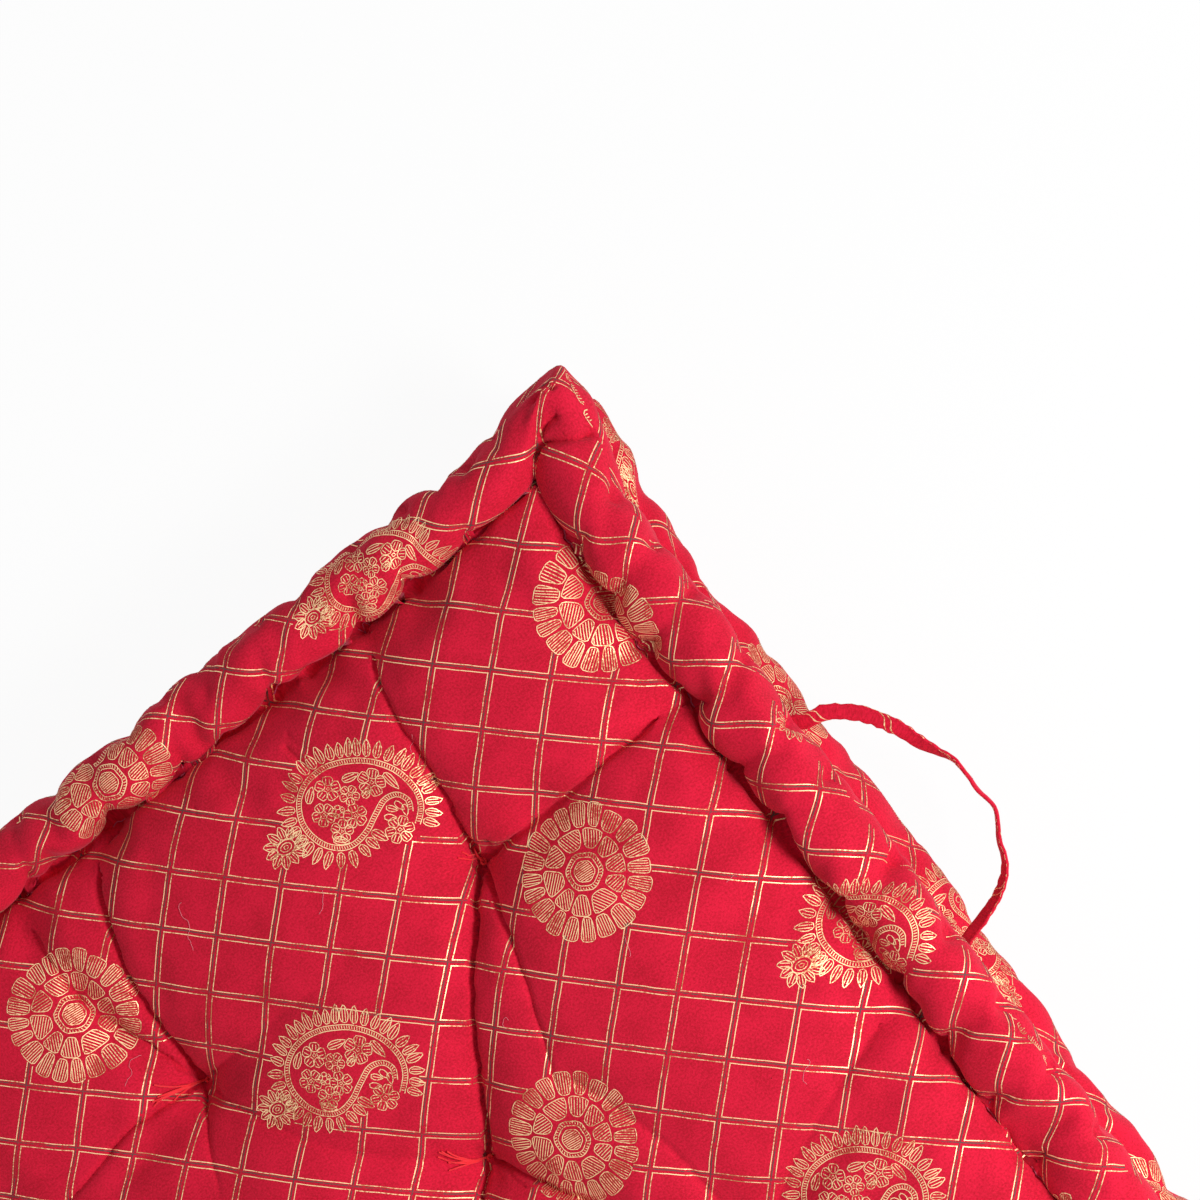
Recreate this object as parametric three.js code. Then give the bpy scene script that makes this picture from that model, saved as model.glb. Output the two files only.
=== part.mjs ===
// A tufted box cushion in printed cotton: a square pad with a hand-stitched roll round its top
// and bottom edges, a drawn-in boxing between them, five tufts and a strap handle on one side.
// Millimetres, +Z up. The cushion lies on its back; the handle is on the +X side.
import * as THREE from "three";

// Driving dimensions
const width = 480; // X, between the rims of two opposite rolls
const depth = 500; // Y
const rollTop = 88; // crest of the upper roll
const rollRadius = 15.5;
const panelTop = 94; // crown of the panel between its tufts
const waistInset = 14; // how far the boxing is drawn in behind the rims
const floorPress = 1.5; // how far the lower roll is pressed flat by its own weight
const earReach = 7; // how far each corner stands out past its sides
const earLength = 70;
const stitchDraw = 2.4; // how far each stitch of a roll draws it in
const handMadeSwing = 1.6; // unevenness of the rims

// Tufts go right through: one in the middle and four round it
const tuftX = 83;
const tuftY = 104;
const tufts = [{ x: 0, y: 0 }];
for (const side of [-1, 1]) for (const end of [-1, 1]) tufts.push({ x: side * tuftX, y: end * tuftY });
const topTuft = { depth: 30, radius: 20 };
const underTuft = { depth: 16, radius: 20, flatBelow: 2.5 };

// Channels that the tension of the tufting leaves: from tuft to tuft, and out to the rolls
const channelDepth = 8;
const channelHalfWidth = 13;
const channels = [];
for (const side of [-1, 1]) {
  for (const end of [-1, 1]) {
    const tuft = new THREE.Vector2(side * tuftX, end * tuftY);
    channels.push([new THREE.Vector2(0, 0), tuft]);
    channels.push([tuft, new THREE.Vector2(side * width * 0.43, end * depth * 0.36)]);
    channels.push([tuft, new THREE.Vector2(side * width * 0.2, end * depth * 0.44)]);
  }
  channels.push([new THREE.Vector2(side * tuftX, -tuftY), new THREE.Vector2(side * tuftX, tuftY)]);
}

// How finely the skin is faceted
const pointsPerSide = 24;
const around = 4 * pointsPerSide;
const panelRings = 12;
const underRings = 9;
const rollRings = 8;

const valleyAngle = 200; // degrees round a roll, from its rim over its crest to the sewn valley
const tuckAngle = -60; // and from its rim down to the boxing
const upperRollZ = rollTop - rollRadius;
const lowerRollZ = rollRadius - floorPress;
const radians = THREE.MathUtils.degToRad;
const valleyInset = rollRadius * (1 - Math.cos(radians(valleyAngle)));
const valleyDrop = rollRadius * Math.sin(radians(valleyAngle)); // below the roll's own centre
const panelHalfX = width / 2 - valleyInset;
const panelHalfY = depth / 2 - valleyInset;

// Where a point stands round the outline of a 2 by 2 square, anticlockwise from its (1, -1) corner
function squarePoint(index) {
  const side = Math.floor(index / pointsPerSide) % 4;
  const along = (2 * (index % pointsPerSide)) / pointsPerSide - 1;
  const turned = [
    [1, along],
    [-along, 1],
    [-1, -along],
    [along, -1],
  ][side];
  return { x: turned[0], y: turned[1], along };
}

// Outward swell of the rims: ears at the corners, stitches that draw the roll in, and a slow swing
function rimSwell(index) {
  const { x, y, along } = squarePoint(index);
  const half = Math.abs(x) === 1 ? depth / 2 : width / 2;
  const ear = Math.max(0, 1 - ((1 - Math.abs(along)) * half) / earLength);
  const stitch = index % 2 === 0 ? -stitchDraw : 0;
  const swing = handMadeSwing * Math.sin(5.3 * x + 2.1 * y) * Math.sin(4.1 * y - 1.7 * x);
  return earReach * ear * ear + (1 - ear) * (stitch + swing);
}

function dimple(x, y, { depth: deep, radius }) {
  const pull = tufts.map((tuft) => deep / (1 + ((x - tuft.x) ** 2 + (y - tuft.y) ** 2) / radius ** 2));
  return Math.max(...pull);
}

function channelCut(x, y) {
  const point = new THREE.Vector3(x, y, 0);
  const nearest = new THREE.Vector3();
  const cuts = channels.map(([from, to]) => {
    const line = new THREE.Line3(new THREE.Vector3(from.x, from.y, 0), new THREE.Vector3(to.x, to.y, 0));
    const away = line.closestPointToPoint(point, true, nearest).distanceTo(point);
    return channelDepth * Math.exp(-((away / channelHalfWidth) ** 2));
  });
  return Math.max(...cuts);
}

// Height of the upper panel: a crown that falls steeply into the sewn valley round its edge
function panelZ(x, y) {
  const out = Math.max(Math.abs(x) / panelHalfX, Math.abs(y) / panelHalfY);
  const valleyZ = upperRollZ + valleyDrop;
  const crown = (panelTop - valleyZ) * (1 - out ** 9);
  const fade = 1 - out ** 6;
  return valleyZ + crown - fade * Math.max(dimple(x, y, topTuft), channelCut(x, y));
}

// Height of the under panel: flat on the floor but for its tufts and the valley inside the roll
function underZ(x, y) {
  const out = Math.max(Math.abs(x) / panelHalfX, Math.abs(y) / panelHalfY);
  const valleyZ = lowerRollZ - valleyDrop;
  const lift = (valleyZ + floorPress) * out ** 14 - floorPress;
  const tuft = dimple(x, y, underTuft) - underTuft.flatBelow;
  return Math.max(0, lift, tuft * (1 - out ** 6));
}

function panelRing(fraction, height) {
  const ring = [];
  for (let index = 0; index < around; index++) {
    const square = squarePoint(index);
    const x = square.x * panelHalfX * fraction;
    const y = square.y * panelHalfY * fraction;
    ring.push(new THREE.Vector3(x, y, height(x, y)));
  }
  return ring;
}

// A ring at one inset from the rims; swell says how much of the rims' unevenness reaches it
function edgeRing(inset, z, swell) {
  const ring = [];
  for (let index = 0; index < around; index++) {
    const square = squarePoint(index);
    const out = swell * rimSwell(index) - inset;
    ring.push(new THREE.Vector3(square.x * (width / 2 + out), square.y * (depth / 2 + out), Math.max(0, z)));
  }
  return ring;
}

function rollRing(centreZ, degrees) {
  const angle = radians(degrees);
  const outwards = Math.cos(angle);
  return edgeRing(rollRadius * (1 - outwards), centreZ + rollRadius * Math.sin(angle), (1 + outwards) / 2);
}

// Skins a stack of rings, closed at each end by a fan to one point
function closedSkin(rings, firstPole, lastPole) {
  const count = rings[0].length;
  const points = [firstPole, ...rings.flat(), lastPole];
  const faces = [];
  const at = (ring, index) => 1 + ring * count + (index % count);
  for (let index = 0; index < count; index++) {
    faces.push(0, at(0, index), at(0, index + 1));
    for (let ring = 0; ring + 1 < rings.length; ring++) {
      const [a, b] = [at(ring, index), at(ring, index + 1)];
      const [c, d] = [at(ring + 1, index), at(ring + 1, index + 1)];
      faces.push(a, c, d, a, d, b);
    }
    faces.push(points.length - 1, at(rings.length - 1, index + 1), at(rings.length - 1, index));
  }
  const geometry = new THREE.BufferGeometry().setFromPoints(points);
  geometry.setIndex(faces);
  geometry.computeVertexNormals();
  return geometry;
}

function cushionGeometry() {
  const rings = [];
  for (let step = 1; step < panelRings; step++) rings.push(panelRing(step / panelRings, panelZ));
  for (let step = 0; step <= rollRings; step++) {
    rings.push(rollRing(upperRollZ, THREE.MathUtils.lerp(valleyAngle, tuckAngle, step / rollRings)));
  }
  rings.push(edgeRing(waistInset, (upperRollZ + lowerRollZ) / 2, 0.5));
  for (let step = 0; step <= rollRings; step++) {
    rings.push(rollRing(lowerRollZ, THREE.MathUtils.lerp(-tuckAngle, -valleyAngle, step / rollRings)));
  }
  for (let step = underRings - 1; step > 0; step--) rings.push(panelRing(step / underRings, underZ));
  return closedSkin(rings, new THREE.Vector3(0, 0, panelZ(0, 0)), new THREE.Vector3(0, 0, underZ(0, 0)));
}

// The strap handle: a flat sewn tube that leaves the boxing, loops out and comes back, turning on edge
// on its way. tilt is how far its width stands up from level, in degrees.
const strapWidth = 7.2;
const strapThickness = 2;
const strapSections = 42;
const strapRoute = [
  { x: 229.5, y: 71, z: 44, tilt: 4 },
  { x: 238, y: 66.5, z: 45, tilt: 0 },
  { x: 248, y: 60.5, z: 45.5, tilt: -6 },
  { x: 258, y: 52.5, z: 45, tilt: -4 },
  { x: 266.5, y: 41.5, z: 44, tilt: 6 },
  { x: 273.5, y: 29.5, z: 43, tilt: 30 },
  { x: 278.5, y: 17.5, z: 42, tilt: 66 },
  { x: 280.5, y: 5, z: 41.5, tilt: 82 },
  { x: 280.5, y: -8, z: 41, tilt: 86 },
  { x: 278.5, y: -20, z: 41, tilt: 80 },
  { x: 272.5, y: -31, z: 41.5, tilt: 70 },
  { x: 262.5, y: -41, z: 42, tilt: 58 },
  { x: 250.5, y: -48, z: 43, tilt: 50 },
  { x: 239.5, y: -52, z: 43.5, tilt: 44 },
  { x: 229.5, y: -55, z: 44, tilt: 40 },
];

function strapGeometry() {
  const curve = new THREE.CatmullRomCurve3(strapRoute.map(({ x, y, z }) => new THREE.Vector3(x, y, z)));
  const up = new THREE.Vector3(0, 0, 1);
  const rings = [];
  for (let step = 0; step <= strapSections; step++) {
    const t = step / strapSections;
    const place = t * (strapRoute.length - 1);
    const row = Math.min(Math.floor(place), strapRoute.length - 2);
    const tilt = THREE.MathUtils.lerp(strapRoute[row].tilt, strapRoute[row + 1].tilt, place - row);
    const forward = curve.getTangent(t);
    const across = new THREE.Vector3().crossVectors(up, forward).normalize();
    across.applyAxisAngle(forward, radians(tilt)).multiplyScalar(strapWidth / 2);
    const through = new THREE.Vector3().crossVectors(forward, across).normalize();
    through.multiplyScalar(strapThickness / 2);
    const centre = curve.getPoint(t);
    rings.push([
      centre.clone().add(across).add(through),
      centre.clone().add(across).sub(through),
      centre.clone().sub(across).sub(through),
      centre.clone().sub(across).add(through),
    ]);
  }
  return closedSkin(rings, curve.getPoint(0), curve.getPoint(1));
}

const printedCotton = new THREE.MeshStandardMaterial({ color: 0xd0203c, roughness: 0.85, metalness: 0 });
const strapCotton = new THREE.MeshStandardMaterial({ color: 0xc41f3a, roughness: 0.85, metalness: 0 });

const cushion = new THREE.Mesh(cushionGeometry(), printedCotton);
cushion.name = "cushion";
const strap = new THREE.Mesh(strapGeometry(), strapCotton);
strap.name = "strap_handle";

// The part's origin is on the floor, under the middle of its footprint
const part = new THREE.Group();
part.add(cushion, strap);
const footprint = new THREE.Box3().setFromObject(part, true).getCenter(new THREE.Vector3());
for (const mesh of part.children) mesh.position.set(-footprint.x, -footprint.y, 0);

export default part;
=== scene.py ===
import math
import bmesh
import bpy
import numpy as np
from mathutils import Matrix, Vector, noise
from mathutils.bvhtree import BVHTree


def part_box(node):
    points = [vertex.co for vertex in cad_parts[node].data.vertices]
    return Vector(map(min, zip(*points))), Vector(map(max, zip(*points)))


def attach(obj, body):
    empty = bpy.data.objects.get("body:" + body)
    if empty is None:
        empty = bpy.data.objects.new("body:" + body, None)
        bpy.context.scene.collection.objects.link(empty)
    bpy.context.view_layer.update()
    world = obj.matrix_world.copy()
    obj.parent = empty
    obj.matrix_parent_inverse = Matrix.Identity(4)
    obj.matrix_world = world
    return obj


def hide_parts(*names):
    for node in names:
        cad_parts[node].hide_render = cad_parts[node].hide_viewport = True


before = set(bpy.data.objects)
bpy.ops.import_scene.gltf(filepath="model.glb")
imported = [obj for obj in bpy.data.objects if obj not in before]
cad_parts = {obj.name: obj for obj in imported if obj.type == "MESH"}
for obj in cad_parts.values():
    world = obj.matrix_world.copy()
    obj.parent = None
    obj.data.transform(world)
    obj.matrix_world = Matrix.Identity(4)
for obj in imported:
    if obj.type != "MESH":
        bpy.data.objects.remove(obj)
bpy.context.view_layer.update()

mm = 0.001
lowCorner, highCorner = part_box("cushion")
middle = np.array([(lowCorner.x + highCorner.x) / 2, (lowCorner.y + highCorner.y) / 2, 0.0])
scene = bpy.context.scene
rng = np.random.default_rng(7)


def linearColour(hexText):
    parts = [int(hexText[i:i + 2], 16) / 255 for i in (1, 3, 5)]
    return tuple(c / 12.92 if c <= 0.04045 else ((c + 0.055) / 1.055) ** 2.4 for c in parts) + (1.0,)


def meshObject(name, points, faces, edges=()):
    mesh = bpy.data.meshes.new(name)
    mesh.from_pydata([tuple(map(float, p)) for p in points], [tuple(map(int, e)) for e in edges],
                     [tuple(map(int, f)) for f in faces])
    mesh.update()
    piece = bpy.data.objects.new(name, mesh)
    scene.collection.objects.link(piece)
    return piece


def plainMesh(piece):
    # keeps what the modifiers make as the piece's own mesh
    graph = bpy.context.evaluated_depsgraph_get()
    made = bpy.data.meshes.new_from_object(piece.evaluated_get(graph), preserve_all_data_layers=True,
                                           depsgraph=graph)
    piece.modifiers.clear()
    piece.data = made


def readPoints(mesh):
    co = np.zeros(len(mesh.vertices) * 3, np.float32)
    mesh.vertices.foreach_get("co", co)
    return co.reshape(-1, 3).astype(float)


def writePoints(mesh, points):
    mesh.vertices.foreach_set("co", points.astype(np.float32).ravel())
    mesh.update()


def addNode(tree, kind, inputs=None, **settings):
    # inputs: socket name or number to a value, or to an output socket that is linked to it
    made = tree.nodes.new(kind)
    for name, value in settings.items():
        setattr(made, name, value)
    for name, value in (inputs or {}).items():
        socket = made.inputs[name]
        if isinstance(value, bpy.types.NodeSocket):
            tree.links.new(value, socket)
        else:
            socket.default_value = value
    return made


def smoothstep(low, high, x):
    t = np.clip((x - low) / (high - low), 0, 1)
    return t * t * (3 - 2 * t)


def smoothPath(points, step, closed=False):
    # Catmull-Rom through the given points, then even steps
    p = np.asarray(points, float)
    n = len(p)
    out = []
    for k in range(n if closed else n - 1):
        a, b, c, d = (p[(k + o) % n] if closed else p[min(max(k + o, 0), n - 1)] for o in (-1, 0, 1, 2))
        t = np.linspace(0, 1, 12, endpoint=False)[:, None]
        out.append(0.5 * (2 * b + (c - a) * t + (2 * a - 5 * b + 4 * c - d) * t ** 2
                          + (3 * b - a - 3 * c + d) * t ** 3))
    out = np.concatenate(out + [p[:1] if closed else p[-1:]])
    return evenSteps(out, step)


def evenSteps(points, step):
    run = np.concatenate([[0], np.cumsum(np.linalg.norm(np.diff(points, axis=0), axis=1))])
    count = max(2, int(math.ceil(run[-1] / step)) + 1)
    at = np.linspace(0, run[-1], count)
    return np.stack([np.interp(at, run, points[:, c]) for c in range(points.shape[1])], -1)


# the camera looks down on one corner of the face
camera = {
    "azimuth": 67.3, "elevation": 77.4, "roll": -104.9,       # degrees
    "distance": 1.81, "lens": 124.1, "sensor": 36, "clip": (0.05, 50),
    "target": (204 * mm, 162 * mm, 80 * mm),                  # from the middle of the underside
}


def makeCamera(c):
    data = bpy.data.cameras.new("camera")
    data.lens = c["lens"]
    data.sensor_width = c["sensor"]
    data.clip_start, data.clip_end = c["clip"]
    piece = bpy.data.objects.new("camera", data)
    scene.collection.objects.link(piece)
    azimuth, elevation = math.radians(c["azimuth"]), math.radians(c["elevation"])
    away = Vector((math.sin(azimuth) * math.cos(elevation), -math.cos(azimuth) * math.cos(elevation),
                   math.sin(elevation)))
    right = Vector((0, 0, 1)).cross(away).normalized()
    up = away.cross(right)
    turn = Matrix.Rotation(math.radians(c["roll"]), 3, away)
    right, up = turn @ right, turn @ up
    place = Matrix((right, up, away)).transposed().to_4x4()
    place.translation = Vector(c["target"]) + Vector(middle) + away * c["distance"]
    piece.matrix_world = place
    scene.camera = piece


makeCamera(camera)

# The cover is two square panels and a boxing strip, cut flat and sewn round the filling. Each
# panel's rim is rolled round a rope of filling and stitched through, so that a roll stands along
# every edge. p and q are places on the flat cut, x and y places in plan.
cover = {
    "rimX": 240 * mm, "rimY": 250 * mm,            # half sizes between the rims of the rolls
    "rollWideX": 17.2 * mm, "rollWideY": 14.8 * mm, "rollHigh": 15.5 * mm,     # half sizes of a roll
    "rollTop": 86.5 * mm, "lowerRollZ": 14 * mm,
    "seamAngle": 20, "valleyAngle": 200, "tuckAngle": -60,   # round the roll, from its rim
    "rollCloth": 49.5 * mm,                        # cloth from the seam round to the valley
    "waistInset": 14 * mm,                         # how far in the boxing's middle line is drawn
    "slack": 1.04,                                 # cloth over plan length on the face
    "panelTop": 84 * mm, "faceFlat": 16, "underFlat": 14,          # the higher, the flatter
    # the upper corners stand out as ears, the lower ones less, and the lower roll stands in
    "earX": 19 * mm, "earY": 18 * mm, "earWide": 55 * mm, "earDeep": 60 * mm,
    "earFade": 1.3, "earFadeY": 0.6,
    "lowerEarX": 17 * mm, "lowerEarY": 2 * mm, "lowerEarFade": 0.7,
    "lowerIn": 4 * mm, "lowerInFull": 10 * mm, "lowerInNone": 40 * mm,
    "cellsX": 88, "cellsY": 92, "boxRows": 10,
    "partGap": 100 * mm,                           # between the parts on the flat cut
}
wideX, wideY, high = cover["rollWideX"], cover["rollWideY"], cover["rollHigh"]
rimX, rimY, rollCloth = cover["rimX"], cover["rimY"], cover["rollCloth"]
upperRollZ = cover["rollTop"] - high
lowerRollZ = cover["lowerRollZ"]
valleyAngle = math.radians(cover["valleyAngle"])
panelX = rimX - wideX * (1 - math.cos(valleyAngle))
panelY = rimY - wideY * (1 - math.cos(valleyAngle))
valleyZ = upperRollZ + high * math.sin(valleyAngle)
cutX, cutY = panelX * cover["slack"] + rollCloth, panelY * cover["slack"] + rollCloth
meanRadius = (wideX + wideY + 2 * high) / 4
tuckCloth = meanRadius * math.radians(cover["seamAngle"] - cover["tuckAngle"])
tuckInset = (wideX + wideY) / 2 * (1 - math.cos(math.radians(cover["tuckAngle"])))
tuckRise = high * math.sin(math.radians(cover["tuckAngle"]))
waistZ = (upperRollZ + lowerRollZ) / 2
halfWaist = math.hypot(cover["waistInset"] - tuckInset, upperRollZ + tuckRise - waistZ)
boxCloth = 2 * (tuckCloth + halfWaist)
cellsX, cellsY, boxRows = cover["cellsX"], cover["cellsY"], cover["boxRows"]
gridP, gridQ = np.linspace(-cutX, cutX, cellsX + 1), np.linspace(-cutY, cutY, cellsY + 1)
cutP, cutQ = np.meshgrid(gridP, gridQ, indexing="ij")
print("cut panel", round(2 * cutX / mm), "x", round(2 * cutY / mm), "boxing", round(boxCloth / mm), "mm")


def insideSeam(p, q):
    # how far in from the nearest seam a place on the flat cut lies
    return np.minimum(cutX - np.abs(p), cutY - np.abs(q))


def sewnPanel(upper):
    inFromSeam = insideSeam(cutP, cutQ)
    onRoll = inFromSeam < rollCloth
    share = np.clip(inFromSeam / rollCloth, 0, 1)
    angle = np.radians(cover["seamAngle"] + share * (cover["valleyAngle"] - cover["seamAngle"]))
    reachX = np.maximum(cutX - inFromSeam, mm)
    reachY = np.maximum(cutY - inFromSeam, mm)
    x = np.where(onRoll, cutP / reachX * (rimX - wideX * (1 - np.cos(angle))), cutP / cover["slack"])
    y = np.where(onRoll, cutQ / reachY * (rimY - wideY * (1 - np.cos(angle))), cutQ / cover["slack"])
    out = np.clip(np.maximum(np.abs(x) / panelX, np.abs(y) / panelY), 0, 1)
    rise = high * np.sin(angle)
    if upper:
        swell = valleyZ + (cover["panelTop"] - valleyZ) * (1 - out ** cover["faceFlat"])
        z = np.where(onRoll, upperRollZ + rise, swell)
    else:
        valleyLow = lowerRollZ - high * math.sin(valleyAngle)
        z = np.where(onRoll, np.maximum(lowerRollZ - rise, 0), valleyLow * out ** cover["underFlat"])
    return np.stack([x, y, z], -1)


rim = [(cellsX, j) for j in range(cellsY)] + [(i, cellsY) for i in range(cellsX, 0, -1)]
rim += [(0, j) for j in range(cellsY, 0, -1)] + [(i, 0) for i in range(cellsX)]
rimCount = len(rim)
rimP = np.array([gridP[i] for i, j in rim])
rimQ = np.array([gridQ[j] for i, j in rim])


def sewnBoxing():
    rows = []
    for k in range(1, boxRows):
        down = boxCloth * k / boxRows
        fromSeam = min(down, boxCloth - down)
        if fromSeam < tuckCloth:
            turn = fromSeam / tuckCloth * (cover["seamAngle"] - cover["tuckAngle"])
            angle = math.radians(cover["seamAngle"] - turn)
            insetX, insetY = wideX * (1 - math.cos(angle)), wideY * (1 - math.cos(angle))
            rise = high * math.sin(angle)
        else:
            share = (fromSeam - tuckCloth) / halfWaist
            insetX = insetY = tuckInset + share * (cover["waistInset"] - tuckInset)
            rise = tuckRise + share * (waistZ - upperRollZ - tuckRise)
        z = upperRollZ + rise if down < boxCloth / 2 else lowerRollZ - rise
        rows.append(np.stack([rimP / cutX * (rimX - insetX), rimQ / cutY * (rimY - insetY),
                              np.full(rimCount, max(z, 0))], -1))
    return np.concatenate(rows)


def shapeCorners(points):
    # the upper corners stand out as small ears, the lower roll stands a little further in
    inX, inY = rimX - np.abs(points[:, 0]), rimY - np.abs(points[:, 1])
    near = np.clip(1 - np.abs(inX - inY) / cover["earWide"], 0, 1) ** cover["earFade"]
    near = near * np.clip(1 - np.minimum(inX, inY) / cover["earDeep"], 0, 1)
    up = smoothstep(lowerRollZ, upperRollZ, points[:, 2])
    onSide = smoothstep(cover["lowerInNone"], cover["lowerInFull"], np.minimum(inX, inY))
    ears = ((0, cover["earX"], cover["lowerEarX"], panelX),
            (1, cover["earY"] * near ** cover["earFadeY"], cover["lowerEarY"], panelY))
    for axis, ear, lowerEar, half in ears:
        beyond = np.abs(points[:, axis]) > half
        reach = up * ear * near
        reach += (1 - up) * (lowerEar * near ** cover["lowerEarFade"] - cover["lowerIn"] * onSide * beyond)
        points[:, axis] += np.sign(points[:, axis]) * reach
    return points


topCount, bandCount = (cellsX + 1) * (cellsY + 1), (boxRows - 1) * rimCount


def topAt(i, j):
    return i * (cellsY + 1) + j


def underAt(i, j):
    return topCount + bandCount + topAt(i, j)


def bandAt(k, m):
    m = m % rimCount
    if k == 0:
        return topAt(*rim[m])
    if k == boxRows:
        return underAt(*rim[m])
    return topCount + (k - 1) * rimCount + m


def makeCover():
    sewn = np.concatenate([sewnPanel(True).reshape(-1, 3), sewnBoxing(), sewnPanel(False).reshape(-1, 3)])
    sewn = shapeCorners(sewn)
    faces, uvs, parts = [], [], []
    underShift = 2 * cutX + cover["partGap"]
    for i in range(cellsX):
        for j in range(cellsY):
            corners = [(i, j), (i + 1, j), (i + 1, j + 1), (i, j + 1)]
            faces.append([topAt(*c) for c in corners])
            uvs.append([(gridP[a], gridQ[b]) for a, b in corners])
            faces.append([underAt(*c) for c in corners[::-1]])
            uvs.append([(underShift - gridP[a], gridQ[b]) for a, b in corners[::-1]])
            parts += [0, 2]
    steps = np.hypot(np.diff(np.append(rimP, rimP[0])), np.diff(np.append(rimQ, rimQ[0])))
    along = np.concatenate([[0], np.cumsum(steps)]) - cutX
    for k in range(boxRows):
        for m in range(rimCount):
            corners = [(k, m), (k + 1, m), (k + 1, m + 1), (k, m + 1)]
            faces.append([bandAt(*c) for c in corners])
            uvs.append([(along[b], -cutY - cover["partGap"] - boxCloth * a / boxRows) for a, b in corners])
            parts.append(1)
    piece = meshObject("cushion_cover", sewn + middle, faces)
    piece.data.uv_layers.new(name="cutCloth").data.foreach_set("uv", np.array(uvs, np.float32).ravel())
    piece.data.attributes.new("clothPart", "INT", "FACE").data.foreach_set("value", parts)
    return piece, sewn


cushion, sewn = makeCover()
print("cover has", len(cushion.data.vertices), "points")

# Hand stitches and tufts. The stitches run through each roll, from the valley on the face to the
# tuck under it, at a hand's pace.
stitches = {
    # places along each side, in mm from its middle; the rest follow at the pace, in mm
    "right": (193, 166, 137, 104, 70, 39, -6, -49, -84, -118, -151),
    "back": (174, 139, 107, 57, -1, -41, -94),
    "left": (190,), "front": (182,),
    "pace": (34, 50), "fromEnd": 60 * mm,
    "lean": {"right": 1, "back": 20, "left": 6, "front": -6},     # how far a stitch runs askew, mm
    "unevenLean": 4,
    "near": 8 * mm,              # how far along the roll one stitch draws the cloth in
    "deeper": 7 * mm, "outward": 4 * mm, "tuckRise": 3 * mm, "tuckIn": 7 * mm,
    "between": 0.5,             # how firmly the line holds between stitches
    "tight": 0.55,              # the cloth is pinned from this nearness on
}
tufts = {
    "places": ((85, 104), (-81, 102), (5, -3), (84, -107), (-82, -104)),   # mm, in plan
    "z": 67 * mm, "ring": 2.5 * mm, "funnel": 11 * mm,
    "underDepth": 12 * mm, "underWide": 20 * mm, "underRim": 1.5 * mm,     # dimples of the underside
}
outOf = {"right": (0, 1), "back": (1, 1), "left": (0, -1), "front": (1, -1)}   # each side's axis and sign


def stitchRow(given, half):
    row = [v * mm for v in given]
    while row[-1] > -half + stitches["fromEnd"]:
        row.append(row[-1] - rng.uniform(*stitches["pace"]) * mm)
    return np.array(row)


stitchRows = {side: stitchRow(stitches[side], (panelY, panelX)[outOf[side][0]]) for side in outOf}
stitchLeans = {}
for side, row in stitchRows.items():
    uneven = rng.uniform(-stitches["unevenLean"], stitches["unevenLean"], len(row))
    stitchLeans[side] = (stitches["lean"][side] + uneven) * mm


def sideOf(x, y):
    if abs(x) / rimX > abs(y) / rimY:
        return ("right" if x > 0 else "left"), y
    return ("back" if y > 0 else "front"), x


def besideValley(side, run, out):
    # a place in plan, run along one side and out from its valley
    axis, sign = outOf[side]
    place = [run, run]
    place[axis] = sign * ((panelX, panelY)[axis] + out)
    return place


def stitchNear(x, y):
    side, run = sideOf(x, y)
    return math.exp(-(np.min(np.abs(stitchRows[side] - run)) / stitches["near"]) ** 2)


def pinCover():
    pins = np.zeros(len(sewn))
    start = sewn.copy()
    inFromSeam = insideSeam(cutP, cutQ)
    cell = max(gridP[1] - gridP[0], gridQ[1] - gridQ[0])

    def hold(v, rise, out):
        x, y = sewn[v, :2]
        near = stitchNear(x, y)
        between = stitches["between"]
        pins[v] = 1 if near > stitches["tight"] else between + (1 - between) * near
        start[v, 2] += rise * near
        axis = outOf[sideOf(x, y)[0]][0]
        start[v, axis] += math.copysign(out * near, sewn[v, axis])

    for i, j in zip(*np.nonzero(np.abs(inFromSeam - rollCloth) < 0.5 * cell)):
        hold(topAt(i, j), -stitches["deeper"], stitches["outward"])
    for k in range(1, boxRows):
        down = boxCloth * k / boxRows
        if abs(min(down, boxCloth - down) - tuckCloth) < boxCloth / boxRows * 0.5:
            rise = stitches["tuckRise"] * (1 if down < boxCloth / 2 else -1)
            for m in range(rimCount):
                hold(bandAt(k, m), rise, -stitches["tuckIn"])
    for i, j in zip(*np.nonzero(inFromSeam > rollCloth - 0.6 * cell)):
        pins[underAt(i, j)] = 1                                  # lies flat on the ground
    isTop = np.arange(len(sewn)) < topCount
    for x, y in np.array(tufts["places"]) * mm:
        i = int(np.argmin(np.abs(gridP / cover["slack"] - x)))
        j = int(np.argmin(np.abs(gridQ / cover["slack"] - y)))
        away = np.hypot(sewn[:, 0] - x, sewn[:, 1] - y)
        dip = (sewn[:, 2] - tufts["z"]) * np.exp(-away / tufts["funnel"])
        start[:, 2] = np.where(isTop & (pins == 0), np.minimum(start[:, 2], sewn[:, 2] - dip), start[:, 2])
        for a, b in ((0, 0), (1, 0), (-1, 0), (0, 1), (0, -1)):
            v = topAt(i + a, j + b)
            pins[v] = 1
            start[v, 2] = tufts["z"] + (tufts["ring"] if a or b else 0)
    writePoints(cushion.data, start + middle)
    held = cushion.vertex_groups.new(name="sewn")
    for weight in np.unique(np.round(pins[pins > 0], 2)):
        held.add([int(v) for v in np.nonzero(np.abs(pins - weight) < 0.005)[0]], float(weight), "REPLACE")
    taut = cushion.vertex_groups.new(name="tautCloth")
    inner = smoothstep(rollCloth - 2 * cell, rollCloth + 3 * cell, inFromSeam)
    for weight in np.unique(np.round(inner[inner > 0], 1)):
        picked = [int(topAt(i, j)) for i, j in zip(*np.nonzero(np.abs(inner - weight) < 0.05))]
        taut.add(picked, float(weight), "REPLACE")
    return start


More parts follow.
